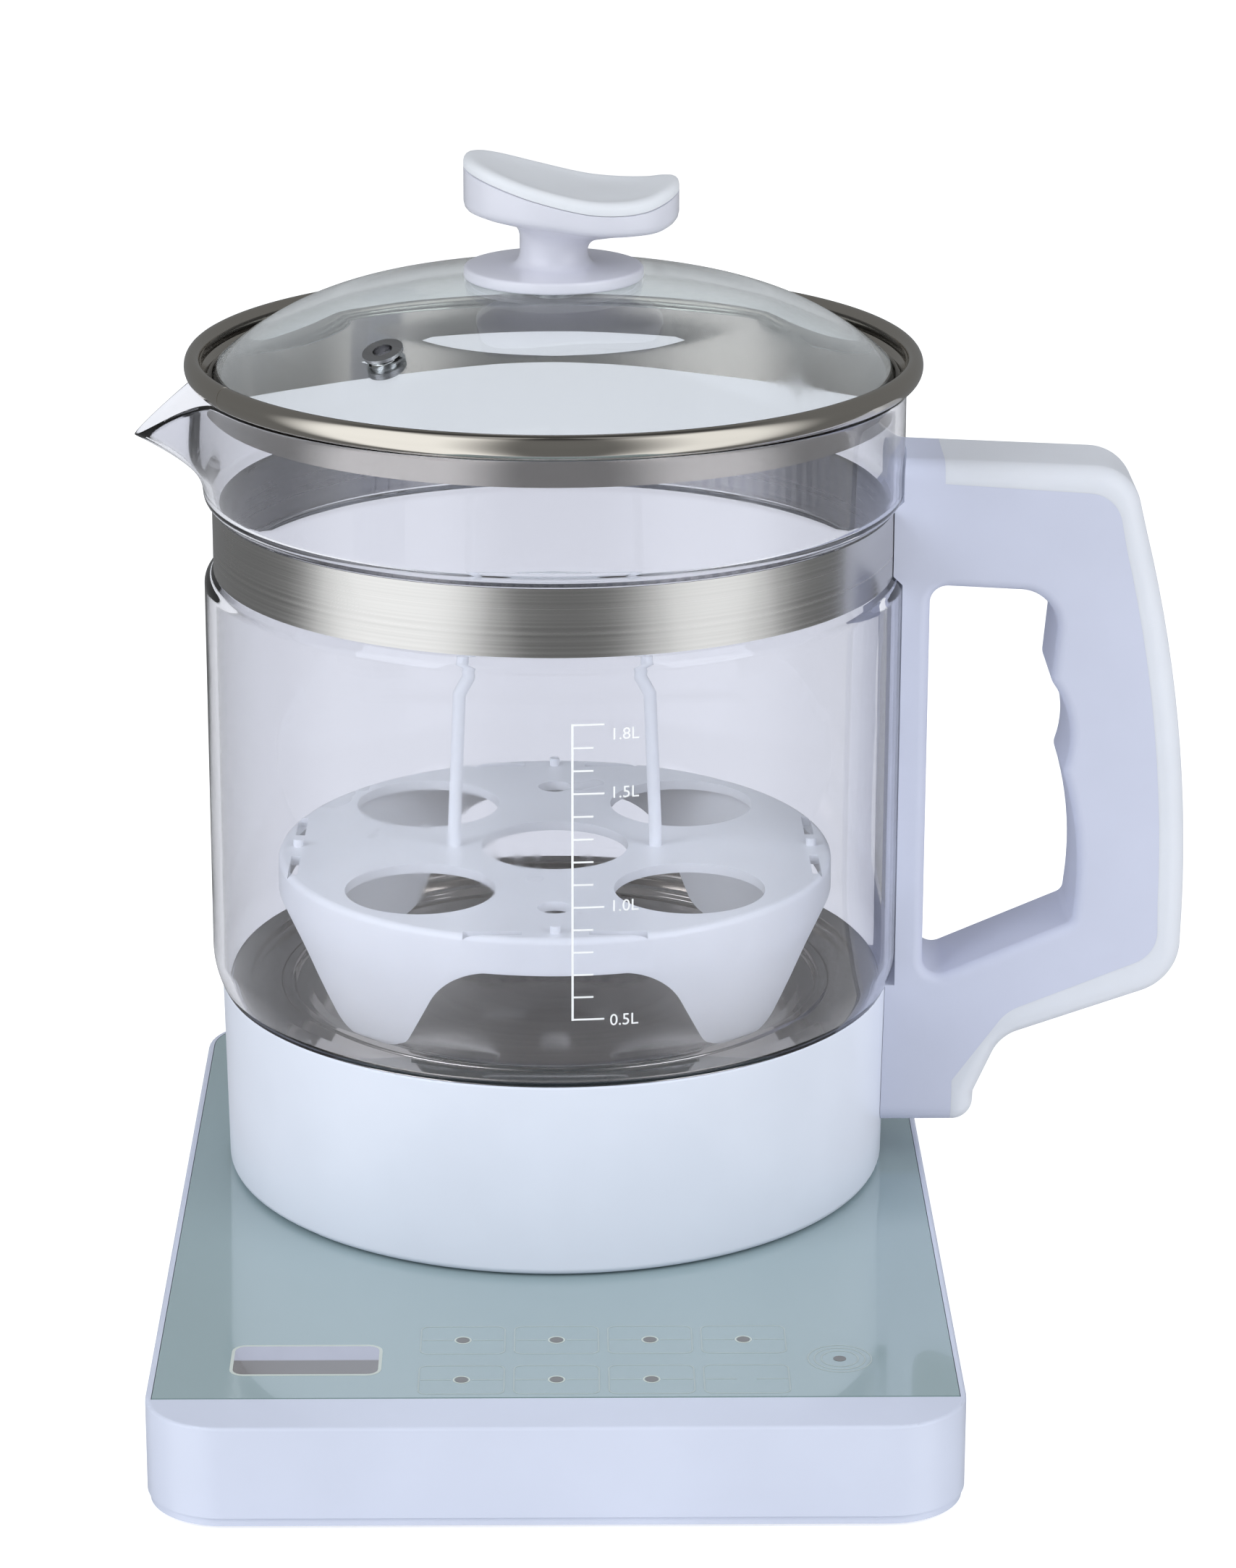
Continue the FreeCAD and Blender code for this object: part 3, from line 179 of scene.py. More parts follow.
def shader_group(name: str, inputs: dict[str, float], outputs: Sequence[str],
                 wire: Callable[[NodeGraph, bpy.types.Node, bpy.types.Node], None]) -> bpy.types.NodeTree:
    """Builds a shader node group once.

    Args:
        name: The group's name.
        inputs: Its inputs and their values to start with.
        outputs: Names of its outputs, all values.
        wire: Adds the nodes between the group's input and output nodes.

    Returns:
        The group's tree.
    """
    found = bpy.data.node_groups.get(name)
    if found is not None:
        return found
    tree = bpy.data.node_groups.new(name, "ShaderNodeTree")
    for label, value in inputs.items():
        socket = tree.interface.new_socket(name=label, in_out="INPUT", socket_type="NodeSocketFloat")
        socket.default_value = value
    for label in outputs:
        tree.interface.new_socket(name=label, in_out="OUTPUT", socket_type="NodeSocketFloat")
    graph = NodeGraph(tree)
    wire(graph, graph.add("NodeGroupInput"), graph.add("NodeGroupOutput"))
    return tree


def moulded_skin() -> bpy.types.NodeTree:
    """Returns the group for the fine grain and the faint clouding of a moulded surface."""

    def wire(graph: NodeGraph, given: bpy.types.Node, result: bpy.types.Node) -> None:
        place = graph.add("ShaderNodeTexCoord").outputs["Object"]
        grain = graph.add("ShaderNodeTexNoise", {
            "Vector": place, "Scale": given.outputs["Grain Scale"], "Detail": 2.0, "Roughness": 0.6})
        cloud = graph.add("ShaderNodeTexNoise", {
            "Vector": place, "Scale": given.outputs["Cloud Scale"], "Detail": 3.0, "Roughness": 0.5})
        graph.feed(result.inputs["Height"], grain.outputs[0])
        graph.feed(result.inputs["Cloud"], graph.ramp(cloud.outputs[0], 0.3, 0.7))

    return shader_group("moulded_skin", {"Grain Scale": 1200.0, "Cloud Scale": 25.0},
                        ("Height", "Cloud"), wire)


def turned_lines() -> bpy.types.NodeTree:
    """Returns the group for the fine lines that turning or brushing leaves round an upright axis."""

    def wire(graph: NodeGraph, given: bpy.types.Node, result: bpy.types.Node) -> None:
        place = graph.add("ShaderNodeTexCoord").outputs["Object"]
        parts = graph.add("ShaderNodeSeparateXYZ", {0: place}).outputs
        square = graph.math("ADD", graph.math("MULTIPLY", parts[0], parts[0]),
                            graph.math("MULTIPLY", parts[1], parts[1]))
        across = graph.math("ADD", graph.math("SQRT", square), parts[2])
        stretched = graph.combine(
            graph.math("MULTIPLY", parts[0], given.outputs["Along"]),
            graph.math("MULTIPLY", parts[1], given.outputs["Along"]),
            graph.math("MULTIPLY", across, given.outputs["Across"]))
        fine = graph.add("ShaderNodeTexNoise", {"Vector": stretched, "Scale": 1.0, "Detail": 3.0,
                                                "Roughness": 0.7})
        broad = graph.add("ShaderNodeTexNoise", {"Vector": stretched, "Scale": 0.13, "Detail": 2.0})
        graph.feed(result.inputs["Height"], fine.outputs[0])
        graph.feed(result.inputs["Streak"], graph.ramp(broad.outputs[0], 0.3, 0.7))

    return shader_group("turned_lines", {"Along": 12.0, "Across": 5000.0}, ("Height", "Streak"), wire)


def handling_marks() -> bpy.types.NodeTree:
    """Returns the group for the faint wipes and prints that handling leaves on a glossy surface."""

    def wire(graph: NodeGraph, given: bpy.types.Node, result: bpy.types.Node) -> None:
        place = graph.add("ShaderNodeTexCoord").outputs["Object"]
        patch = graph.add("ShaderNodeTexNoise", {"Vector": place, "Scale": given.outputs["Patch Scale"],
                                                 "Detail": 3.0, "Distortion": 0.6})
        lines = graph.add("ShaderNodeTexNoise", {
            "Vector": graph.add("ShaderNodeMapping", {
                "Vector": place, "Rotation": (0.0, 0.0, 0.5), "Scale": (260.0, 30.0, 60.0)}).outputs[0],
            "Scale": 1.0, "Detail": 2.0})
        mask = graph.math("MULTIPLY", graph.ramp(patch.outputs[0], 0.5, 0.72, smooth=True),
                          graph.ramp(lines.outputs[0], 0.35, 0.7))
        graph.feed(result.inputs["Mark"], mask)

    return shader_group("handling_marks", {"Patch Scale": 18.0}, ("Mark",), wire)


# ---------------------------------------------------------------------------------------------
# finishes
# ---------------------------------------------------------------------------------------------
@dataclass(frozen=True)
class Finish:
    """A material that is made once and shared by the pieces that wear it."""

    name: str
    slot: str
    colour: Colour
    roughness: float

    def material(self) -> bpy.types.Material:
        """Returns the material, which is built the first time."""
        label = f"{self.name}_finish"
        found = bpy.data.materials.get(label)
        if found is None:
            found = bpy.data.materials.new(label)
            found.use_nodes = True
            graph = NodeGraph(found.node_tree)
            self.wire(graph, found.node_tree.nodes["Principled BSDF"])
        return found

    def wire(self, graph: NodeGraph, shader: bpy.types.Node) -> None:
        """Adds this finish's nodes around the shader."""
        raise NotImplementedError

    def group(self, graph: NodeGraph, tree: bpy.types.NodeTree, **values: float) -> bpy.types.Node:
        """Adds a shared group with its own values."""
        node = graph.add("ShaderNodeGroup", node_tree=tree)
        for label, value in values.items():
            node.inputs[label.replace("_", " ").title()].default_value = value
        return node

    def bump(self, graph: NodeGraph, shader: bpy.types.Node, height: Value, distance: float) -> None:
        """Raises the surface by height over a distance in metres."""
        node = graph.add("ShaderNodeBump", {"Strength": 1.0, "Distance": distance, "Height": height})
        graph.feed(shader.inputs["Normal"], node.outputs[0])


@dataclass(frozen=True)
class MouldedPlastic(Finish):
    """Moulded plastic or rubber with a fine grain and a faint clouding."""

    grain: float = 0.000004
    grain_scale: float = 1500.0
    clouding: float = 0.03
    coat: float = 0.0
    coat_roughness: float = 0.08
    gloss_spread: float = 0.12
    glow: float = 0.0
    glow_radius: Colour = (1.0, 0.95, 0.9)
    glow_scale: float = 0.002

    def wire(self, graph: NodeGraph, shader: bpy.types.Node) -> None:
        """Adds grain, clouding and, where it has one, a coat or light that spreads inside."""
        skin = self.group(graph, moulded_skin(), grain_scale=self.grain_scale)
        cloud = skin.outputs["Cloud"]
        tone = graph.blend(cloud, shaded(self.colour, 1 - self.clouding),
                           shaded(self.colour, 1 + self.clouding))
        graph.feed(shader.inputs["Base Color"], tone)
        spread = self.roughness * self.gloss_spread
        graph.feed(shader.inputs["Roughness"],
                   graph.ramp(cloud, 0.0, 1.0, self.roughness - spread, self.roughness + spread))
        shader.inputs["Coat Weight"].default_value = self.coat
        shader.inputs["Coat Roughness"].default_value = self.coat_roughness
        if self.glow:
            shader.inputs["Subsurface Weight"].default_value = self.glow
            shader.inputs["Subsurface Radius"].default_value = self.glow_radius
            shader.inputs["Subsurface Scale"].default_value = self.glow_scale
        self.bump(graph, shader, skin.outputs["Height"], self.grain)


@dataclass(frozen=True)
class TurnedMetal(Finish):
    """Metal with the fine lines of turning, brushing or polishing."""

    along: float = 12.0
    across: float = 5000.0
    depth: float = 0.000003
    streaks: float = 0.08
    gloss_spread: float = 0.2
    wear: float = 0.05
    mark_scale: float = 30.0

    def wire(self, graph: NodeGraph, shader: bpy.types.Node) -> None:
        """Adds the lines and the change of gloss from streak to streak."""
        lines = self.group(graph, turned_lines(), along=self.along, across=self.across)
        marks = self.group(graph, handling_marks(), patch_scale=self.mark_scale)
        streak = lines.outputs["Streak"]
        tone = graph.blend(streak, shaded(self.colour, 1 - self.streaks),
                           shaded(self.colour, 1 + self.streaks))
        graph.feed(shader.inputs["Base Color"], tone)
        spread = self.roughness * self.gloss_spread
        gloss = graph.ramp(streak, 0.0, 1.0, self.roughness - spread, self.roughness + spread)
        worn = graph.math("ADD", gloss, graph.math("MULTIPLY", marks.outputs["Mark"], self.wear))
        graph.feed(shader.inputs["Roughness"], worn)
        shader.inputs["Metallic"].default_value = 1.0
        self.bump(graph, shader, lines.outputs["Height"], self.depth)


@dataclass(frozen=True)
class ClearGlass(Finish):
    """Blown or pressed clear glass with a slow waviness, which lets lamps through."""

    ior: float = 1.47
    waves: float = 0.00002
    wave_scale: float = 45.0
    mark_scale: float = 16.0
    lamp_tint: Colour = (0.94, 0.95, 0.96)

    def wire(self, graph: NodeGraph, shader: bpy.types.Node) -> None:
        """Adds the waves, faint marks and the clear stand-in for lamps."""
        place = graph.add("ShaderNodeTexCoord").outputs["Object"]
        wave = graph.add("ShaderNodeTexNoise", {"Vector": place, "Scale": self.wave_scale, "Detail": 1.0})
        marks = self.group(graph, handling_marks(), patch_scale=self.mark_scale)
        shader.inputs["Base Color"].default_value = shaded(self.colour, 1.0)
        shader.inputs["Transmission Weight"].default_value = 1.0
        shader.inputs["IOR"].default_value = self.ior
        rough = graph.math("MULTIPLY", marks.outputs["Mark"], self.roughness)
        graph.feed(shader.inputs["Roughness"], rough)
        self.bump(graph, shader, wave.outputs[0], self.waves)
        lamp = graph.add("ShaderNodeBsdfTransparent", {"Color": shaded(self.lamp_tint, 1.0)})
        path = graph.add("ShaderNodeLightPath")
        mix = graph.add("ShaderNodeMixShader", {0: path.outputs["Is Shadow Ray"]})
        graph.feed(mix.inputs[1], shader.outputs[0])
        graph.feed(mix.inputs[2], lamp.outputs[0])
        output = graph.tree.nodes["Material Output"]
        graph.feed(output.inputs["Surface"], mix.outputs[0])


@dataclass(frozen=True)
class PaintedGlass(Finish):
    """Tempered glass painted on its back: a flat colour under gloss, and a deeper green at cut edges."""

    edge: Colour = (0.2, 0.3, 0.28)
    grain_scale: float = 900.0
    cloud_scale: float = 12.0
    clouding: float = 0.02
    mark_scale: float = 14.0
    mark_roughness: float = 0.08
    edge_end: float = 0.6
    face_start: float = 0.97
    ior: float = 1.52
    coat: float = 0.6
    coat_roughness: float = 0.02
    relief: float = 0.000002

    def wire(self, graph: NodeGraph, shader: bpy.types.Node) -> None:
        """Adds the edge colour, the paint's faint clouding and handling marks in the gloss."""
        skin = self.group(graph, moulded_skin(), grain_scale=self.grain_scale, cloud_scale=self.cloud_scale)
        marks = self.group(graph, handling_marks(), patch_scale=self.mark_scale)
        normal = graph.add("ShaderNodeNewGeometry").outputs["Normal"]
        up = graph.add("ShaderNodeSeparateXYZ", {0: normal}).outputs[2]
        face = graph.ramp(graph.math("ABSOLUTE", up), self.edge_end, self.face_start)
        paint = graph.blend(skin.outputs["Cloud"], shaded(self.colour, 1 - self.clouding),
                            shaded(self.colour, 1 + self.clouding))
        graph.feed(shader.inputs["Base Color"], graph.blend(face, shaded(self.edge, 1.0), paint))
        graph.feed(shader.inputs["Roughness"],
                   graph.ramp(marks.outputs["Mark"], 0.0, 1.0, self.roughness,
                              self.roughness + self.mark_roughness))
        shader.inputs["IOR"].default_value = self.ior
        shader.inputs["Coat Weight"].default_value = self.coat
        shader.inputs["Coat Roughness"].default_value = self.coat_roughness
        self.bump(graph, shader, skin.outputs["Cloud"], self.relief)


@dataclass(frozen=True)
class WindowFilm(Finish):
    """Smoked window over a display: lilac film at the back and darker towards the front."""

    front: Colour = (0.2, 0.19, 0.19)
    middle: float = 0.0
    soft_edge: float = 0.0004
    grain_scale: float = 2500.0
    cloud_scale: float = 60.0
    cloud_low: float = 0.95
    cloud_high: float = 1.04
    gloss_spread: float = 0.04
    coat: float = 0.5

    def wire(self, graph: NodeGraph, shader: bpy.types.Node) -> None:
        """Adds the two tones, which meet at the window's middle."""
        place = graph.add("ShaderNodeTexCoord").outputs["Object"]
        depth = graph.add("ShaderNodeSeparateXYZ", {0: place}).outputs[1]
        back = graph.ramp(depth, self.middle - self.soft_edge, self.middle + self.soft_edge, smooth=True)
        skin = self.group(graph, moulded_skin(), grain_scale=self.grain_scale, cloud_scale=self.cloud_scale)
        film = graph.blend(skin.outputs["Cloud"], shaded(self.colour, self.cloud_low),
                           shaded(self.colour, self.cloud_high))
        graph.feed(shader.inputs["Base Color"], graph.blend(back, shaded(self.front, 1.0), film))
        graph.feed(shader.inputs["Roughness"],
                   graph.ramp(skin.outputs["Cloud"], 0.0, 1.0, self.roughness,
                              self.roughness + self.gloss_spread))
        shader.inputs["Coat Weight"].default_value = self.coat


@dataclass(frozen=True)
class CircuitBoard(Finish):
    """Green solder mask with copper tracks showing through it."""

    track: Colour = (0.06, 0.28, 0.12)
    cell_scale: float = 260.0
    tracks_per_cell: float = 3.0
    track_gloss: float = 0.7
    track_height: float = 0.00003

    def wire(self, graph: NodeGraph, shader: bpy.types.Node) -> None:
        """Adds square-cornered tracks under the mask."""
        place = graph.add("ShaderNodeTexCoord").outputs["Object"]
        cells = graph.add("ShaderNodeTexVoronoi", {"Vector": place, "Scale": self.cell_scale},
                          distance="MANHATTAN", feature="F1")
        turns = graph.math("MULTIPLY", cells.outputs[0], self.tracks_per_cell)
        track = graph.ramp(graph.math("FRACT", turns), 0.42, 0.5)
        tone = graph.blend(track, shaded(self.colour, 1.0), shaded(self.track, 1.0))
        graph.feed(shader.inputs["Base Color"], tone)
        graph.feed(shader.inputs["Roughness"],
                   graph.ramp(track, 0.0, 1.0, self.roughness, self.roughness * self.track_gloss))
        self.bump(graph, shader, track, self.track_height)


GROUND_EDGE = MouldedPlastic("ground_glass_edge", "lid_glass", linear(178, 181, 188), 0.5, grain=0.000008)
# The base wears the same white shell plastic as the jug's skirt, darkened with painted shade because less
# light falls on the base's top.
SHADED_BASE_SHELL = MouldedPlastic("base_shell_plastic_painted_shade", "white_shell", linear(212, 217, 234), 0.32, coat=0.15)
SHELL = MouldedPlastic("shell_plastic", "white_shell", linear(230, 234, 246), 0.32, coat=0.15)
HANDLE = MouldedPlastic("handle_plastic", "handle_plastic", linear(205, 208, 226), 0.45, grain=0.000006)
GRIP = MouldedPlastic("grip_plastic", "grip_plastic", linear(222, 224, 231), 0.4, glow=0.25)
KNOB = MouldedPlastic("knob_plastic", "knob_plastic", linear(220, 220, 230), 0.3, coat=0.4)
KNOB_CAP = MouldedPlastic("knob_cap_plastic", "grip_plastic", linear(226, 228, 233), 0.42, glow=0.15)
TRAY = MouldedPlastic("tray_plastic", "tray_plastic", linear(246, 247, 250), 0.3, coat=0.1, glow=0.15)
DARK = MouldedPlastic("dark_plastic", "dark_plastic", linear(44, 44, 48), 0.4, grain=0.00001)
LENS = MouldedPlastic("lens_plastic", "clear_plastic", linear(200, 205, 205), 0.2, coat=0.4)
RUBBER = MouldedPlastic("grey_rubber", "grey_rubber", linear(120, 122, 126), 0.7, grain=0.00002)
SILICONE = MouldedPlastic("silicone", "silicone", linear(215, 214, 208), 0.55, glow=0.2)
INK_WHITE = MouldedPlastic("white_ink", "white_shell", linear(250, 250, 250), 0.5, grain=0.000002)
INK_CREAM = MouldedPlastic("cream_ink", "white_shell", linear(205, 212, 206), 0.45, grain=0.000002)
INK_FAINT = MouldedPlastic("faint_ink", "panel_glass", linear(176, 188, 188), 0.4, grain=0.000002)
LAMP = MouldedPlastic("lamp_window", "clear_plastic", linear(112, 110, 108), 0.3, coat=0.5)
SCREEN = WindowFilm("display_film", "display_face", linear(178, 180, 196), 0.14)
BOARD = CircuitBoard("board_green", "circuit_board", linear(20, 92, 52), 0.4)
PANEL = PaintedGlass("panel_paint", "panel_glass", linear(158, 176, 180), 0.1, edge=linear(92, 120, 116))
JUG_CLEAR = ClearGlass("jug_clear", "jug_glass", (0.745, 0.75, 0.795), 0.1, lamp_tint=(0.9, 0.91, 0.93))
LID_CLEAR = ClearGlass("lid_clear", "lid_glass", (0.86, 0.895, 0.905), 0.1, ior=1.52, waves=0.00003,
                       wave_scale=30.0)
BAND = TurnedMetal("brushed_band", "brushed_band", linear(205, 203, 200), 0.24, along=9.0, across=9000.0,
                   depth=0.000004)
RIM = TurnedMetal("polished_rim", "rim_steel", linear(204, 198, 188), 0.1, across=3000.0, depth=0.0000005,
                  streaks=0.03)
PLATE = TurnedMetal("polished_plate", "plate_steel", linear(196, 190, 182), 0.08, along=6.0, across=2500.0,
                    depth=0.0000006, streaks=0.05)
FASTENER = TurnedMetal("fastener_steel", "steel_fastener", linear(190, 190, 192), 0.25, depth=0.000002)
CASTING = TurnedMetal("cast_aluminium", "cast_aluminium", linear(170, 172, 175), 0.5, along=400.0,
                      across=400.0, depth=0.00002)
BRASS = TurnedMetal("brass", "brass_contact", linear(205, 170, 105), 0.22)

SLOT_FINISHES: dict[str, Finish] = {
    finish.slot: finish
    for finish in (SHELL, HANDLE, GRIP, KNOB, TRAY, DARK, LENS, RUBBER, SILICONE, SCREEN, BOARD, PANEL,
                   JUG_CLEAR, LID_CLEAR, BAND, RIM, PLATE, FASTENER, CASTING, BRASS)
}


# ---------------------------------------------------------------------------------------------
# meshes
# ---------------------------------------------------------------------------------------------
def rounded(corners: Sequence[Corner], closed: bool = True, steps: int = 6) -> list[tuple[float, float]]:
    """Rounds the corners of an outline.

    Args:
        corners: Points (x, y) or (x, y, fillet radius).
        closed: Whether the last corner joins the first.
        steps: Number of short lines in each rounded corner.

    Returns:
        The outline's points.
    """
    points: list[tuple[float, float]] = []
    count = len(corners)
    for index, corner in enumerate(corners):
        here = Vector(corner[:2])
        fillet = corner[2] if len(corner) > 2 else 0.0
        if not fillet or (not closed and index in (0, count - 1)):
            points.append(tuple(here))
            continue
        back = (Vector(corners[index - 1][:2]) - here).normalized()
        ahead = (Vector(corners[(index + 1) % count][:2]) - here).normalized()
        half = back.angle(ahead) / 2
        centre = here + (back + ahead).normalized() * (fillet / math.sin(half))
        reach = fillet / math.tan(half)
        first = here + back * reach - centre
        last = here + ahead * reach - centre
        start = math.atan2(first.y, first.x)
        turn = (math.atan2(last.y, last.x) - start + math.pi) % (2 * math.pi) - math.pi
        for step in range(steps + 1):
            angle = start + turn * step / steps
            points.append((centre.x + fillet * math.cos(angle), centre.y + fillet * math.sin(angle)))
    return points


def divided(points: Sequence[tuple[float, float]], low: float, step: float) -> list[tuple[float, float]]:
    """Splits the lines of a closed outline that lie above low into pieces of at most step."""
    result: list[tuple[float, float]] = []
    for index, (x, y) in enumerate(points):
        far_x, far_y = points[(index + 1) % len(points)]
        length = math.hypot(far_x - x, far_y - y)
        parts = max(1, math.ceil(length / step)) if min(y, far_y) >= low else 1
        result += [(x + (far_x - x) * part / parts, y + (far_y - y) * part / parts) for part in range(parts)]
    return result


def new_object(name: str, mesh: bpy.types.Mesh) -> bpy.types.Object:
    """Links a mesh to the scene as an object at the origin."""
    piece = bpy.data.objects.new(name, mesh)
    bpy.context.scene.collection.objects.link(piece)
    return piece


def to_object(name: str, form: bmesh.types.BMesh, crease: float = 35.0) -> bpy.types.Object:
    """Turns a bmesh into a smooth-shaded object.

    Args:
        name: The object's name.
        form: The bmesh, which is freed.
        crease: Angle in degrees past which an edge stays sharp.

    Returns:
        The new object.
    """
    mesh = bpy.data.meshes.new(name)
    form.to_mesh(mesh)
    form.free()
    mesh.shade_smooth()
    mesh.set_sharp_from_angle(angle=math.radians(crease))
    return new_object(name, mesh)


def bridge(form: bmesh.types.BMesh, first: Sequence[bmesh.types.BMVert],
           second: Sequence[bmesh.types.BMVert]) -> None:
    """Joins two closed rings of points, either of which may be a single point, with faces."""
    count = max(len(first), len(second))
    for index in range(count):
        after = (index + 1) % count
        if len(first) == 1 and len(second) == 1:
            return
        if len(first) == 1:
            form.faces.new((first[0], second[index], second[after]))
        elif len(second) == 1:
            form.faces.new((first[after], first[index], second[0]))
        else:
            form.faces.new((first[index], second[index], second[after], first[after]))


def lathe(name: str, outline: Sequence[tuple[float, float]], closed: bool = True, segments: int = 192,
          shape: Optional[Callable[[float, float, float], tuple[float, float, float]]] = None,
          angles: Optional[Sequence[float]] = None, crease: float = 35.0) -> bpy.types.Object:
    """Turns an outline about the Z axis.

    Args:
        name: The object's name.
        outline: Points (radius, height).
        closed: Whether the outline's last point joins its first.
        segments: Number of steps round the axis.
        shape: Moves a point given as (angle, radius, height), and returns its place.
        angles: The angles to use instead of equal steps.
        crease: Angle in degrees past which an edge stays sharp.

    Returns:
        The new object.
    """
    turns = list(angles) if angles else [2 * math.pi * index / segments for index in range(segments)]

    def plain(angle: float, radius: float, height: float) -> tuple[float, float, float]:
        return radius * math.cos(angle), radius * math.sin(angle), height

    move = shape or plain
    form = bmesh.new()
    rings = []
    for radius, height in outline:
        used = turns[:1] if radius < WELD_DISTANCE else turns
        rings.append([form.verts.new(move(angle, radius, height)) for angle in used])
    pairs = list(zip(rings, rings[1:])) + ([(rings[-1], rings[0])] if closed else [])
    for first, second in pairs:
        bridge(form, first, second)
    bmesh.ops.recalc_face_normals(form, faces=form.faces)
    return to_object(name, form, crease)


def welded_copy(node: str, name: str) -> bpy.types.Object:
    """Makes a smooth-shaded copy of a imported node.

    Args:
        node: The node's name.
        name: The copy's name.

    Returns:
        The copy, welded and shaded.
    """
    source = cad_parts[node].data
    mesh = bpy.data.meshes.new(name)
    mesh.from_pydata([tuple(vertex.co) for vertex in source.vertices], [],
                     [tuple(face.vertices) for face in source.polygons])
    form = bmesh.new()
    form.from_mesh(mesh)
    bpy.data.meshes.remove(mesh)
    bmesh.ops.remove_doubles(form, verts=form.verts, dist=WELD_DISTANCE)
    piece = to_object(name, form, COPY_CREASE)
    weighted = piece.modifiers.new("even_shading", "WEIGHTED_NORMAL")
    weighted.keep_sharp = True
    return piece


def settle(piece: bpy.types.Object) -> bpy.types.Object:
    """Turns an object's modifiers, text or curve into a plain mesh in its place."""
    graph = bpy.context.evaluated_depsgraph_get()
    mesh = bpy.data.meshes.new_from_object(piece.evaluated_get(graph))
    name = piece.name
    bpy.data.objects.remove(piece)
    mesh.name = name
    return new_object(name, mesh)


def dress(piece: bpy.types.Object, finish: Finish, body: Body, *nodes: str) -> bpy.types.Object:
    """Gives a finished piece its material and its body.

    Args:
        piece: The piece, in its place.
        finish: What it wears.
        body: What it moves with.
        nodes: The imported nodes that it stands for.

    Returns:
        The piece.
    """
    piece.data.materials.clear()
    piece.data.materials.append(finish.material())
    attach(piece, body.value)
    if nodes:
        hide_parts(*nodes)
    LOG.info("%s: %d faces on %s", piece.name, len(piece.data.polygons), body.value)
    return piece


def dressed_copies(body: Body, *copies: tuple[str, Finish, str]) -> None:
    """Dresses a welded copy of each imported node.

    Args:
        body: What the copies move with.
        copies: The node, the finish and the copy's name of each.
    """
    for node, finish, name in copies:
        dress(welded_copy(node, name), finish, body, node)


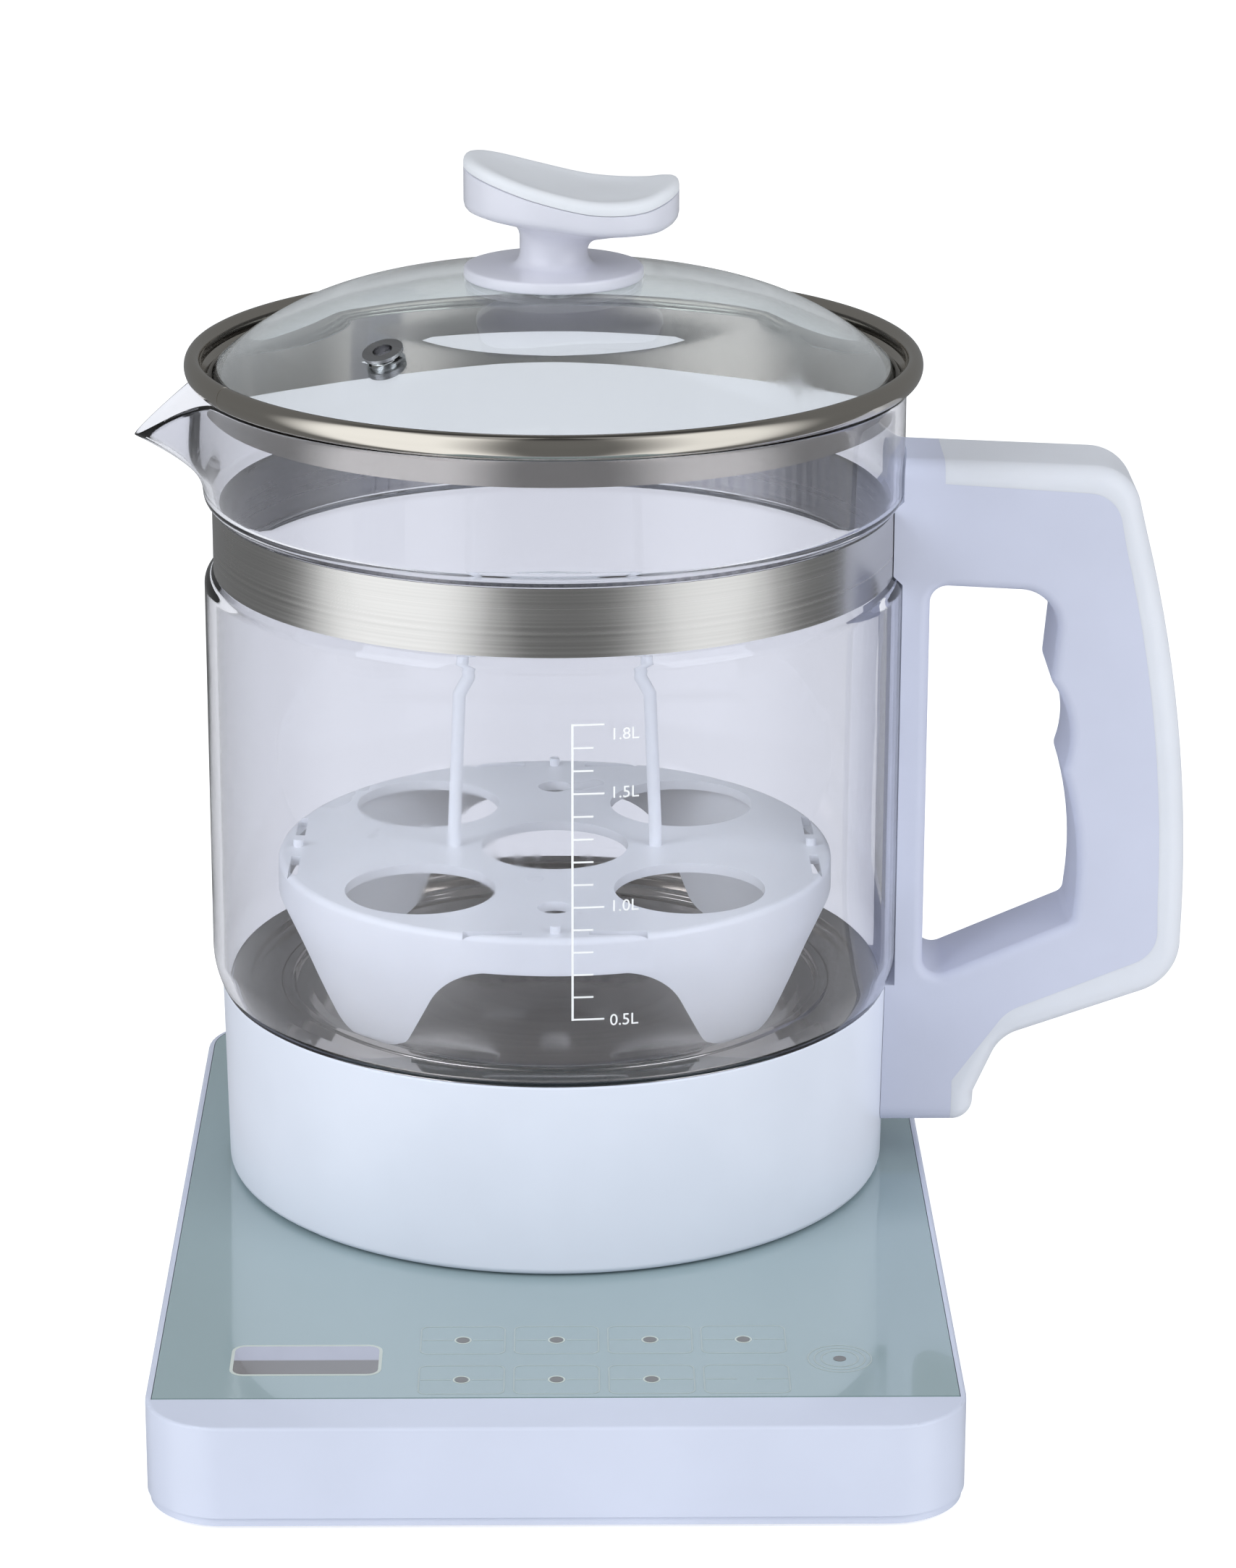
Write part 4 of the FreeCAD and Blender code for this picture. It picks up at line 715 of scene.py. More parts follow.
# ---------------------------------------------------------------------------------------------
# repeats
# ---------------------------------------------------------------------------------------------
class Repeat:
    """A Geometry Nodes tree with named inputs that makes one plain mesh."""

    def __init__(self, name: str, **inputs: Union[float, int]) -> None:
        """Makes the tree and its named inputs.

        Args:
            name: The tree's and the piece's name.
            inputs: Sizes and counts, by name.
        """
        self.name = name
        self.values = inputs
        self.tree = bpy.data.node_groups.new(name, "GeometryNodeTree")
        self.tree.is_modifier = True
        face = self.tree.interface
        face.new_socket(name="Geometry", in_out="OUTPUT", socket_type="NodeSocketGeometry")
        for label, value in inputs.items():
            kind = "NodeSocketInt" if isinstance(value, int) else "NodeSocketFloat"
            face.new_socket(name=label, in_out="INPUT", socket_type=kind)
        self.graph = NodeGraph(self.tree)
        self.given = self.graph.add("NodeGroupInput").outputs

    def bar(self, width: Value, depth: Value, height: Value, parts: int = 2) -> bpy.types.NodeSocket:
        """Returns a box that can bend along its width."""
        size = self.graph.combine(width, depth, height)
        return self.graph.add("GeometryNodeMeshCube", {"Size": size, "Vertices X": parts}).outputs[0]

    def moved(self, geometry: Value, place: Value, scale: Value = (1.0, 1.0, 1.0)) -> bpy.types.NodeSocket:
        """Returns geometry moved and scaled."""
        return self.graph.add("GeometryNodeTransform", {
            "Geometry": geometry, "Translation": place, "Scale": scale}).outputs[0]

    def joined(self, *parts: bpy.types.NodeSocket) -> bpy.types.NodeSocket:
        """Returns the parts as one geometry."""
        node = self.graph.add("GeometryNodeJoinGeometry")
        for part in parts:
            self.graph.feed(node.inputs[0], part)
        return node.outputs[0]

    def frame_line(self, width: Value, height: Value, corner: Value, line: Value,
                   thickness: Value) -> bpy.types.NodeSocket:
        """Returns a thin frame with rounded corners, lying flat."""
        graph = self.graph
        plan = graph.add("GeometryNodeCurvePrimitiveQuadrilateral", {"Width": width, "Height": height})
        soft = graph.add("GeometryNodeFilletCurve", {
            "Curve": plan.outputs[0], "Count": CORNER_STEPS, "Radius": corner}, mode="POLY")
        section = graph.add("GeometryNodeCurvePrimitiveQuadrilateral", {"Width": line, "Height": thickness})
        return graph.add("GeometryNodeCurveToMesh", {
            "Curve": soft.outputs[0], "Profile Curve": section.outputs[0]}).outputs[0]

    def ring_line(self, radius: Value, line: Value, thickness: Value) -> bpy.types.NodeSocket:
        """Returns a thin flat ring."""
        graph = self.graph
        circle = graph.add("GeometryNodeCurvePrimitiveCircle", {"Resolution": CIRCLE_STEPS, "Radius": radius})
        section = graph.add("GeometryNodeCurvePrimitiveQuadrilateral", {"Width": line, "Height": thickness})
        return graph.add("GeometryNodeCurveToMesh", {
            "Curve": circle.outputs[0], "Profile Curve": section.outputs[0]}).outputs[0]

    def disc(self, radius: Value, thickness: Value) -> bpy.types.NodeSocket:
        """Returns a thin round disc."""
        return self.graph.add("GeometryNodeMeshCylinder", {
            "Vertices": DISC_SIDES, "Radius": radius, "Depth": thickness}).outputs[0]

    def instances(self, points: Value, instance: Value, scale: Value = (1.0, 1.0, 1.0),
                  selection: Value = True, rotation: Value = (0.0, 0.0, 0.0)) -> bpy.types.NodeSocket:
        """Returns the instance on every selected point."""
        return self.graph.add("GeometryNodeInstanceOnPoints", {
            "Points": points, "Instance": instance, "Scale": scale, "Selection": selection,
            "Rotation": rotation}).outputs[0]

    def realized(self, geometry: Value) -> bpy.types.NodeSocket:
        """Returns instances as plain geometry."""
        return self.graph.add("GeometryNodeRealizeInstances", {0: geometry}).outputs[0]

    def position(self) -> bpy.types.NodeOutputs:
        """Returns the three parts of each point's place."""
        place = self.graph.add("GeometryNodeInputPosition").outputs[0]
        return self.graph.add("ShaderNodeSeparateXYZ", {0: place}).outputs

    def wrapped(self, geometry: Value, radius: Value) -> bpy.types.NodeSocket:
        """Returns geometry bent round the front of an upright cylinder; its y is the height above it."""
        graph = self.graph
        flat = self.position()
        angle = graph.math("DIVIDE", flat[0], radius)
        reach = graph.math("ADD", flat[1], radius)
        place = graph.combine(
            graph.math("MULTIPLY", reach, graph.math("SINE", angle)),
            graph.math("MULTIPLY", graph.math("MULTIPLY", reach, graph.math("COSINE", angle)), -1.0),
            flat[2])
        return graph.add("GeometryNodeSetPosition", {"Geometry": geometry, "Position": place}).outputs[0]

    def placed(self, geometry: Value) -> bpy.types.NodeSocket:
        """Returns geometry moved to the tree's inputs Left, Front and Top."""
        given = self.given
        return self.moved(geometry, self.graph.combine(given["Left"], given["Front"], given["Top"]))

    def dressed(self, geometry: bpy.types.NodeSocket, finish: Finish, body: Body) -> bpy.types.Object:
        """Ends the tree, runs it once and dresses its plain mesh.

        Args:
            geometry: What the tree makes.
            finish: What the mesh wears.
            body: What it moves with.

        Returns:
            The object, with no modifier left.
        """
        graph = self.graph
        whole = self.realized(geometry)
        flat = graph.add("GeometryNodeSetShadeSmooth", {"Geometry": whole, "Shade Smooth": False}).outputs[0]
        painted = graph.add("GeometryNodeSetMaterial", {"Geometry": flat, "Material": finish.material()})
        graph.feed(graph.add("NodeGroupOutput").inputs[0], painted.outputs[0])
        holder = new_object(self.name, bpy.data.meshes.new(self.name))
        modifier = holder.modifiers.new("repeat", "NODES")
        modifier.node_group = self.tree
        for item in self.tree.interface.items_tree:
            if item.in_out == "INPUT":
                modifier[item.identifier] = self.values[item.name]
        return dress(settle(holder), finish, body)


# ---------------------------------------------------------------------------------------------
# base
# ---------------------------------------------------------------------------------------------
@dataclass
class TouchBase:
    """Base with its glass touch panel, printed keys and display window."""

    key_pitch: float = 0.0204
    key_start: float = -0.0203
    rear_row: float = -0.111
    front_row: float = -0.1313
    frame_width: float = 0.0183
    frame_depth: float = 0.0142
    frame_corner: float = 0.0018
    print_line: float = 0.00032
    stub_share: float = 0.36
    stub_offset: float = 0.3
    lamp_radius: float = 0.0014
    power_x: float = 0.0614
    power_y: float = -0.1212
    power_ring: float = 0.0069
    ring_shares: tuple[float, ...] = (1.0, 0.8, 0.58)
    window_line: float = 0.0007
    window_corner: float = 0.0028

    def build(self) -> None:
        """Builds the casing, the panel and everything printed on it."""
        dressed_copies(
            Body.BASE,
            # The casing, its floor and the cord nut wear the shell colour darkened with painted shade.
            ("base_housing", SHADED_BASE_SHELL, "base_shell"),
            ("base_bottom_cover", SHADED_BASE_SHELL, "base_floor"),
            ("rubber_feet", RUBBER, "feet"),
            ("touch_glass_panel", PANEL, "touch_panel"),
            ("cord_gland", RUBBER, "cord_inlet_gland"),
            ("gland_nut", SHADED_BASE_SHELL, "cord_inlet_nut"),
            ("base_coupler", DARK, "power_coupler"))
        self.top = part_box("touch_glass_panel")[1].z + PRINT_LIFT
        self.keys()
        self.lamps()
        self.power_mark()
        self.display()

    def key_points(self, repeat: Repeat) -> bpy.types.NodeSocket:
        """Returns the eight key centres as points of a grid."""
        given = repeat.given
        grid = repeat.graph.add("GeometryNodeMeshGrid", {
            "Size X": given["Span"], "Size Y": given["Row Gap"], "Vertices X": 4, "Vertices Y": 2}).outputs[0]
        place = repeat.graph.combine(given["Middle X"], given["Middle Y"], given["Top"])
        return repeat.moved(grid, place)

    def grid_values(self) -> dict[str, float]:
        """Returns the sizes of the grid of keys, by the names of the trees' inputs."""
        span = self.key_pitch * 3
        return {
            "Span": span,
            "Row Gap": self.rear_row - self.front_row,
            "Middle X": self.key_start + span / 2,
            "Middle Y": (self.rear_row + self.front_row) / 2,
            "Top": self.top,
        }

    def keys(self) -> None:
        """Builds the printed frame of each key, with a dividing line that is open in its middle."""
        repeat = Repeat("key_frames", Width=self.frame_width, Depth=self.frame_depth,
                        Corner=self.frame_corner, Line=self.print_line, Thickness=PRINT_THICKNESS,
                        **self.grid_values())
        given = repeat.given
        outline = repeat.frame_line(given["Width"], given["Depth"], given["Corner"], given["Line"],
                                    given["Thickness"])
        stub = repeat.bar(repeat.graph.math("MULTIPLY", given["Width"], self.stub_share), given["Line"],
                          given["Thickness"])
        side = repeat.graph.math("MULTIPLY", given["Width"], self.stub_offset)
        left = repeat.moved(stub, repeat.graph.combine(repeat.graph.math("MULTIPLY", side, -1.0), 0.0, 0.0))
        right = repeat.moved(stub, repeat.graph.combine(side, 0.0, 0.0))
        mark = repeat.joined(outline, left, right)
        repeat.dressed(repeat.instances(self.key_points(repeat), mark), INK_FAINT, Body.BASE)

    def lamps(self) -> None:
        """Builds the lamp windows of seven keys and the light ring round each."""
        for label, finish in (("key_lamps", LAMP), ("key_lamp_rings", INK_CREAM)):
            repeat = Repeat(label, Radius=self.lamp_radius, Line=self.print_line, Thickness=PRINT_THICKNESS,
                            **self.grid_values())
            given = repeat.given
            if finish is LAMP:
                mark = repeat.disc(given["Radius"], given["Thickness"])
            else:
                radius = repeat.graph.math("ADD", given["Radius"], given["Line"])
                mark = repeat.ring_line(radius, given["Line"], given["Thickness"])
            place = repeat.position()
            right = repeat.graph.math("GREATER_THAN", place[0], self.key_start + self.key_pitch * 2.5)
            front = repeat.graph.math("LESS_THAN", place[1], (self.rear_row + self.front_row) / 2)
            chosen = repeat.graph.math("SUBTRACT", 1.0, repeat.graph.math("MULTIPLY", right, front))
            lamps = repeat.instances(self.key_points(repeat), mark, selection=chosen)
            repeat.dressed(lamps, finish, Body.BASE)

    def power_mark(self) -> None:
        """Builds the power key: a lamp window in faint rings."""
        rings = Repeat("power_rings", Outer=self.power_ring, Line=self.print_line, Thickness=PRINT_THICKNESS,
                       Left=self.power_x, Front=self.power_y, Top=self.top)
        given = rings.given
        circles = [rings.ring_line(rings.graph.math("MULTIPLY", given["Outer"], share), given["Line"],
                                   given["Thickness"])
                   for share in self.ring_shares]
        rings.dressed(rings.placed(rings.joined(*circles)), INK_FAINT, Body.BASE)
        lamp = Repeat("power_lamp", Radius=self.lamp_radius, Thickness=PRINT_THICKNESS, Left=self.power_x,
                      Front=self.power_y, Top=self.top)
        disc = lamp.disc(lamp.given["Radius"], lamp.given["Thickness"])
        lamp.dressed(lamp.placed(disc), LAMP, Body.BASE)

    def display(self) -> None:
        """Builds the display window in the panel and its printed border."""
        low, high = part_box("display_module")
        middle = (low + high) / 2
        width, depth = high.x - low.x, high.y - low.y
        border = Repeat("window_border", Width=width, Depth=depth, Corner=self.window_corner,
                        Line=self.window_line, Thickness=PRINT_THICKNESS, Left=middle.x, Front=middle.y,
                        Top=self.top)
        given = border.given
        outline = border.frame_line(given["Width"], given["Depth"], given["Corner"], given["Line"],
                                    given["Thickness"])
        border.dressed(border.placed(outline), INK_CREAM, Body.BASE)
        inset = self.window_line / 2
        corners = [(low.x + inset, low.y + inset), (high.x - inset, low.y + inset),
                   (high.x - inset, high.y - inset), (low.x + inset, high.y - inset)]
        plan = rounded([corner + (self.window_corner - inset,) for corner in corners])
        form = bmesh.new()
        levels = (self.top - PRINT_THICKNESS / 2, self.top + PRINT_THICKNESS / 2)
        rings = [[form.verts.new((x, y, level)) for x, y in plan] for level in levels]
        form.faces.new(list(reversed(rings[0])))
        form.faces.new(rings[1])
        bridge(form, rings[0], rings[1])
        bmesh.ops.recalc_face_normals(form, faces=form.faces)
        film = WindowFilm("display_film", "display_face", SCREEN.colour, SCREEN.roughness, middle=middle.y)
        dress(to_object("display_window", form), film, Body.BASE)


# ---------------------------------------------------------------------------------------------
# jug
# ---------------------------------------------------------------------------------------------
@dataclass
class JugGlass:
    """Blown glass jug with a pulled lip and a printed scale."""

    wall: float = 0.0024
    waist_wall: float = 0.0022
    neck_radius: float = 0.075
    groove_depth: float = 0.0026
    mouth_taper: float = 0.0002
    shoulder: float = 0.0022
    shoulder_inside: float = 0.001
    shoulder_round: float = 0.0025
    waist_round: float = 0.00125
    lip_round_share: float = 0.48
    foot_rise: float = 0.0085
    foot_step: float = 0.0021
    foot_steps: int = 10
    foot_gap: float = 0.0002
    foot_floor: float = 0.0009
    foot_round: float = 0.0005
    lip_reach: float = 0.0161
    lip_drop: float = 0.0135
    lip_start: float = 0.2
    lip_width: float = 0.0125
    lip_root: float = 0.75
    lip_spread: float = 0.4
    lip_rise_power: float = 1.15
    lip_side_power: float = 1.7
    lip_step: float = 0.0014
    even_share: float = 0.25
    crease: float = 60.0
    segments: int = 260
    scale_left: float = 0.0038
    scale_step: float = 0.00523
    scale_steps: int = 14
    scale_top: float = 0.155
    scale_line: float = 0.0005
    short_tick: float = 0.0046
    long_tick: float = 0.007
    tick_thickness: float = 0.8
    top_tenths: int = 18
    long_every: int = 5
    digit_size: float = 0.0038
    digit_gap: float = 0.0012
    digits: tuple[tuple[str, float], ...] = (("1.8L", 0.0024), ("1.5L", 0.0), ("1.0L", 0.0), ("0.5L", 0.0005))

    def build(self) -> None:
        """Builds the glass and its scale."""
        self.low, self.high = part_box("jug_glass")
        self.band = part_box("steel_band")
        self.skirt_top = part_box("jug_housing")[1].z
        self.radius = self.high.x
        self.glass()
        self.scale()
        self.numbers()

    def outline(self) -> list[tuple[float, float]]:
        """Returns the closed section of the wall."""
        outer = self.radius
        inner = outer - self.wall
        waist = outer - self.groove_depth
        waist_in = waist - self.waist_wall
        band_low, band_high = self.band[0].z, self.band[1].z
        below, above = band_low - self.shoulder, band_high + self.shoulder
        mouth = outer - self.mouth_taper
        neck_in = self.neck_radius - self.wall
        foot, floor = self.skirt_top + self.foot_gap, self.skirt_top + self.foot_floor
        soft, edge = self.shoulder_round, self.wall * self.lip_round_share
        outside, inside = self.foot_curve(self.foot_gap, 0.0), self.foot_curve(self.foot_floor, self.wall)
        corners = [(self.neck_radius, self.low.z), (self.neck_radius, foot)] + outside + [
            (outer, below, soft), (waist, band_low, self.waist_round), (waist, band_high, self.waist_round),
            (mouth, above, soft), (mouth, self.high.z, edge), (mouth - self.wall, self.high.z, edge),
            (mouth - self.wall, above + self.shoulder_inside, soft), (waist_in, band_high, soft),
            (waist_in, band_low, soft), (inner, below - self.shoulder_inside, soft)] + inside[::-1] + [
                (neck_in, floor, self.foot_round), (neck_in, self.low.z)]
        return rounded(corners)

    def foot_curve(self, start: float, inset: float) -> list[tuple[float, float]]:
        """Returns the wall's gentle curve in towards the skirt.

        Args:
            start: Height above the skirt at which it starts.
            inset: How far it lies inside the outer surface.

        Returns:
            Points (radius, height) from the skirt upwards.
        """
        points = []
        for step in range(self.foot_steps + 1):
            height = start + (self.foot_rise - start) * step / self.foot_steps
            inward = self.foot_step * (1 - height / self.foot_rise) ** 2
            points.append((self.radius - inward - inset, self.skirt_top + height))
        return points

    def pulled(self, angle: float, radius: float, height: float) -> tuple[float, float, float]:
        """Returns a point of the wall, drawn out where the lip is.

        Args:
            angle: Angle about the axis; the lip points to pi.
            radius: The wall's radius there.
            height: The wall's height there.

        Returns:
            The point's place.
        """
        start = self.band[1].z - self.shoulder
        rise = (height - start) / (self.high.z - start)
        drawn = max(0.0, min(1.0, (rise - self.lip_start) / (1 - self.lip_start))) ** self.lip_rise_power
        aside = abs(math.atan2(math.sin(angle - math.pi), math.cos(angle - math.pi))) * radius
        width = self.lip_width * (self.lip_root + self.lip_spread * drawn)
        share = drawn * math.exp(-((aside / width) ** self.lip_side_power))
        reach = radius + self.lip_reach * share
        return reach * math.cos(angle), reach * math.sin(angle), height - self.lip_drop * share

    def glass(self) -> None:
        """Builds the wall, with closer steps near the lip."""
        points = divided(self.outline(), self.band[1].z, self.lip_step)
        angles = []
        for index in range(self.segments):
            share = 2 * index / self.segments - 1
            angles.append(math.pi + math.pi * (self.even_share * share + (1 - self.even_share) * share ** 3))
        piece = lathe("jug_wall", points, shape=self.pulled, angles=angles, crease=self.crease)
        dress(piece, JUG_CLEAR, Body.JUG, "jug_glass")

    def scale(self) -> None:
        """Builds the printed line and ticks of the scale."""
        repeat = Repeat("scale_marks", Ticks=self.scale_steps, Step=self.scale_step, Left=self.scale_left,
                        Top=self.scale_top, Line=self.scale_line, Short=self.short_tick, Long=self.long_tick,
                        Radius=self.radius + PRINT_LIFT, Thickness=PRINT_THICKNESS)
        given, graph = repeat.given, repeat.graph
        column = graph.add("GeometryNodeMeshLine", {
            "Count": given["Ticks"],
            "Start Location": graph.combine(given["Left"], 0.0, given["Top"]),
            "Offset": graph.combine(0.0, 0.0, graph.math("MULTIPLY", given["Step"], -1.0))},
            mode="OFFSET").outputs[0]
        index = graph.add("GeometryNodeInputIndex").outputs[0]
        tenths = graph.math("SUBTRACT", float(self.top_tenths), index)
        on_half = graph.math("LESS_THAN", graph.math("MODULO", tenths, float(self.long_every)), 0.5)
        first = graph.math("LESS_THAN", index, 0.5)
        is_long = graph.math("MAXIMUM", on_half, first)
        extra = graph.math("MULTIPLY", is_long, graph.math("SUBTRACT", given["Long"], given["Short"]))
        length = graph.math("ADD", given["Short"], extra)
        tick = repeat.moved(repeat.bar(1.0, 1.0, 1.0, parts=8), (0.5, 0.0, 0.0))
        scale = graph.combine(length, given["Thickness"],
                              graph.math("MULTIPLY", given["Line"], self.tick_thickness))
        ticks = repeat.realized(repeat.instances(column, tick, scale=scale))
        height = graph.math("MULTIPLY", given["Step"], graph.math("SUBTRACT", given["Ticks"], 1.0))
        middle = graph.math("SUBTRACT", given["Top"], graph.math("DIVIDE", height, 2.0))
        bar = repeat.bar(given["Line"], given["Thickness"], graph.math("ADD", height, given["Line"]))
        line = repeat.moved(bar, graph.combine(given["Left"], 0.0, middle))
        marks = repeat.wrapped(repeat.joined(ticks, line), given["Radius"])
        repeat.dressed(marks, INK_WHITE, Body.JUG)

    def numbers(self) -> None:
        """Builds the volumes beside the long ticks, each lowered by its own drop."""
        for litres, drop in self.digits:
            text = bpy.data.curves.new(f"scale_{litres}", "FONT")
            text.body = litres
            text.size = self.digit_size
            text.extrude = PRINT_THICKNESS / 2
            text.resolution_u = 4
            text.align_x = "LEFT"
            text.align_y = "CENTER"
            step = round(self.top_tenths - float(litres[:3]) * 10)
            height = self.scale_top - step * self.scale_step - drop
            piece = settle(new_object(f"scale_{litres.replace('.', '_')}", text))
            reach = self.radius + PRINT_LIFT
            start = self.scale_left + self.long_tick + self.digit_gap
            for vertex in piece.data.vertices:
                flat = vertex.co.copy()
                angle = (start + flat.x) / reach
                out = reach + flat.z
                vertex.co = (out * math.sin(angle), -out * math.cos(angle), height + flat.y)
            dress(piece, INK_WHITE, Body.JUG)


@dataclass
class JugFittings:
    """Steel band, heating plate, housing and handle of the jug."""

    plate_radius: float = 0.0644
    plate_dish: float = 0.0005
    plate_roll: float = 0.0019
    gutter_drop: float = 0.0012
    gutter_radius: float = 0.0725
    shelf_radius: float = 0.0761
    ledge_rise: float = 0.0015
    ledge_sheet: float = 0.0005
    tight_round: float = 0.0005
    sheet: float = 0.0006

    def build(self) -> None:
        """Builds the fittings."""
        dressed_copies(Body.JUG, ("steel_band", BAND, "brushed_steel_band"))
        self.plate()
        dressed_copies(
            Body.JUG,
            ("jug_housing", SHELL, "jug_skirt"),
            ("jug_bottom_cover", SHELL, "jug_floor"),
            ("jug_coupler", DARK, "jug_power_coupler"),
            ("handle_shell", HANDLE, "handle_core"),
            ("handle_grip", GRIP, "handle_outer_grip"),
            ("band_bolt", FASTENER, "band_clamp_bolt"),
            ("band_nut", FASTENER, "band_clamp_nut"),
            ("glass_seal", SILICONE, "plate_seal"))

    def plate(self) -> None:
        """Builds the pressed plate: a dished disc with a rolled edge, a gutter and a turned-out shelf."""
        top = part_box("heating_plate")[1].z
        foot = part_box("jug_housing")[1].z
        disc, sheet, out, shelf = self.plate_radius, self.sheet, self.gutter_radius, self.shelf_radius
        gutter, ledge = foot - self.gutter_drop, foot + self.ledge_rise
        under, tight = ledge - self.ledge_sheet, self.tight_round
        roll, floor = top + self.plate_roll, top - self.plate_dish
        corners = [
            (0.0, floor), (disc - 0.0075, floor, 0.004),
            (disc - 0.0052, top, 0.002), (disc - 0.0032, top, 0.0008), (disc - 0.0026, roll, 0.0009),
            (disc, roll, 0.0012), (disc + 0.0003, gutter, tight), (out - sheet, gutter, 0.0012),
            (out - sheet, ledge, tight), (shelf, ledge), (shelf, under), (out, under),
            (out, gutter - sheet, 0.0015), (disc - sheet, gutter - sheet, tight),
            (disc - sheet, roll - sheet, tight), (disc - 0.002, roll - sheet, tight),
            (disc - 0.0026, top - sheet, tight), (disc - 0.0052, top - sheet),
            (0.0, floor - sheet)]
        piece = lathe("heating_plate_pressing", rounded(corners, closed=False), closed=False)
        dress(piece, PLATE, Body.JUG, "heating_plate")


@dataclass
class Lid:
    """Domed glass lid with its steel rim, steam vent and knob."""

    glass: float = 0.0035
    crown: float = 0.2
    knuckle: float = 0.0635
    edge_glass: float = 0.0018
    edge_slope: float = 0.7
    edge_height: float = 0.0004
    screw_hole: float = 0.004
    vent_hole: float = 0.0033
    drill_length: float = 0.03
    drill_sides: int = 48
    arc_steps: int = 22
    bead: float = 0.00205
    bead_height: float = 0.00275
    bead_start: float = -108.0
    bead_turn: float = 318.0
    bead_sides: int = 28
    sheet: float = 0.0006
    skirt: float = 0.0066
    skirt_radius: float = 0.0771
    skirt_round: float = 0.0008
    flange_inset: float = 0.0012
    flange_round: float = 0.0003
    flange_lift: float = 0.0006
    flange_turn: float = 0.001
    seat_gap: float = 0.0002
    edge_ring: float = 0.00014
    edge_width: float = 0.0018
    edge_inset: float = 0.0001
    edge_clear: float = 0.00001
    seam_bearing: float = 208.0
    seam_half: float = 0.0016
    seam_depth: float = 0.00022
    seam_steps: tuple[float, ...] = (-1.0, -0.6, 0.6, 1.0)
    seam_floor: float = 0.8
    seam_rise: float = 0.0005
    crease: float = 50.0
    segments: int = 240

    def build(self) -> None:
        """Builds the lid and its knob."""
        self.rim_low, self.rim_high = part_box("lid_rim")
        self.glass_low, self.glass_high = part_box("lid_glass")
        self.dome()
        self.rim()
        dressed_copies(
            Body.LID,
            ("vent_grommet", FASTENER, "steam_vent"),
            ("knob_gasket", SILICONE, "knob_seal"),
            ("knob_washer", FASTENER, "knob_plate"),
            ("knob_screw", FASTENER, "knob_fixing"))
        Knob(apex=self.glass_high.z).build()

    def arc(self, reach: float, level: float, radius: float, start: float,
            end: float) -> list[tuple[float, float]]:
        """Returns points of an arc.

        Args:
            reach: Radius at which the arc's centre lies.
            level: Height of the arc's centre.
            radius: The arc's radius.
            start: First angle from upright.
            end: Last angle from upright.

        Returns:
            Points (radius, height).
        """
        points = []
        for step in range(self.arc_steps + 1):
            angle = start + (end - start) * step / self.arc_steps
            points.append((reach + radius * math.sin(angle), level + radius * math.cos(angle)))
        return points

    def dome(self) -> None:
        """Builds the dome: a wide crown that runs into a tighter knuckle, with the vent's hole."""
        out, low = self.glass_high.x, self.glass_low.z
        reach = out - self.knuckle * self.edge_slope
        centre = low + self.edge_height - self.knuckle * math.sqrt(1 - self.edge_slope ** 2)
        gap = self.crown - self.knuckle
        crown_centre = centre - math.sqrt(gap ** 2 - reach ** 2)
        joint = math.asin(reach / gap)
        inner, inner_crown = self.knuckle - self.glass, self.crown - self.glass
        outer_edge = math.asin(self.edge_slope)
        points = self.arc(0.0, crown_centre, inner_crown, math.asin(self.screw_hole / inner_crown), joint)
        for step in range(1, self.arc_steps + 1):
            share = step / self.arc_steps
            thick = self.glass - (self.glass - self.edge_glass) * share ** 2
            last = math.acos((low - centre) / (self.knuckle - self.edge_glass))
            angle, radius = joint + (last - joint) * share, self.knuckle - thick
            points.append((reach + radius * math.sin(angle), centre + radius * math.cos(angle)))
        points.append((out, low))
        points += self.arc(reach, centre, self.knuckle, outer_edge, joint)
        points += self.arc(0.0, crown_centre, self.crown, joint, math.asin(self.screw_hole / self.crown))[1:]
        piece = lathe("lid_dome", points, segments=self.segments, crease=self.crease)
        vent_low, vent_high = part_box("vent_grommet")
        spot = (vent_low + vent_high) / 2
        heading, slope = math.atan2(spot.y, spot.x), math.asin((math.hypot(spot.x, spot.y) - reach) / inner)
        drill = bmesh.new()
        bmesh.ops.create_cone(drill, cap_ends=True, segments=self.drill_sides, radius1=self.vent_hole,
                              radius2=self.vent_hole, depth=self.drill_length)
        turn = Matrix.Rotation(heading, 4, "Z") @ Matrix.Rotation(slope, 4, "Y")
        drill.transform(Matrix.Translation(spot) @ turn)
        tool = to_object("vent_drill", drill)
        hole = piece.modifiers.new("vent_hole", "BOOLEAN")
        hole.operation, hole.solver, hole.object = "DIFFERENCE", "EXACT", tool
        piece = settle(piece)
        bpy.data.objects.remove(tool)
        dress(piece, LID_CLEAR, Body.LID, "lid_glass")

    def rim(self) -> None:
        """Builds the steel rim: a skirt that turns out under an oval bead, with the bead's butt seam."""
        out, top, low = self.rim_high.x, self.rim_high.z, self.rim_low.z
        flange = low + self.skirt
        middle, level = out - self.bead, top - self.bead_height
        glass_edge = self.glass_high.x
        points = rounded([(self.skirt_radius - self.sheet, low), (self.skirt_radius, low),
                          (self.skirt_radius, flange, self.skirt_round),
                          (middle - self.flange_inset, flange, self.flange_round),
                          (middle - self.flange_turn, flange + self.flange_lift)], closed=False)
        bead = []
        for step in range(self.bead_sides + 1):
            angle = math.radians(self.bead_start + self.bead_turn * step / self.bead_sides)
            bead.append((middle + self.bead * math.cos(angle), level + self.bead_height * math.sin(angle)))
        points += bead
        seat = self.glass_low.z - self.edge_ring
        points += [(glass_edge + self.seat_gap, seat), (self.skirt_radius - self.sheet, seat)]
        seam = math.radians(self.seam_bearing)
        steps = [2 * math.pi * index / self.segments for index in range(self.segments)]
        spare = math.pi / self.segments
        angles = sorted([angle for angle in steps if abs(angle - seam) > spare]
                        + [seam + side * self.seam_half for side in self.seam_steps])

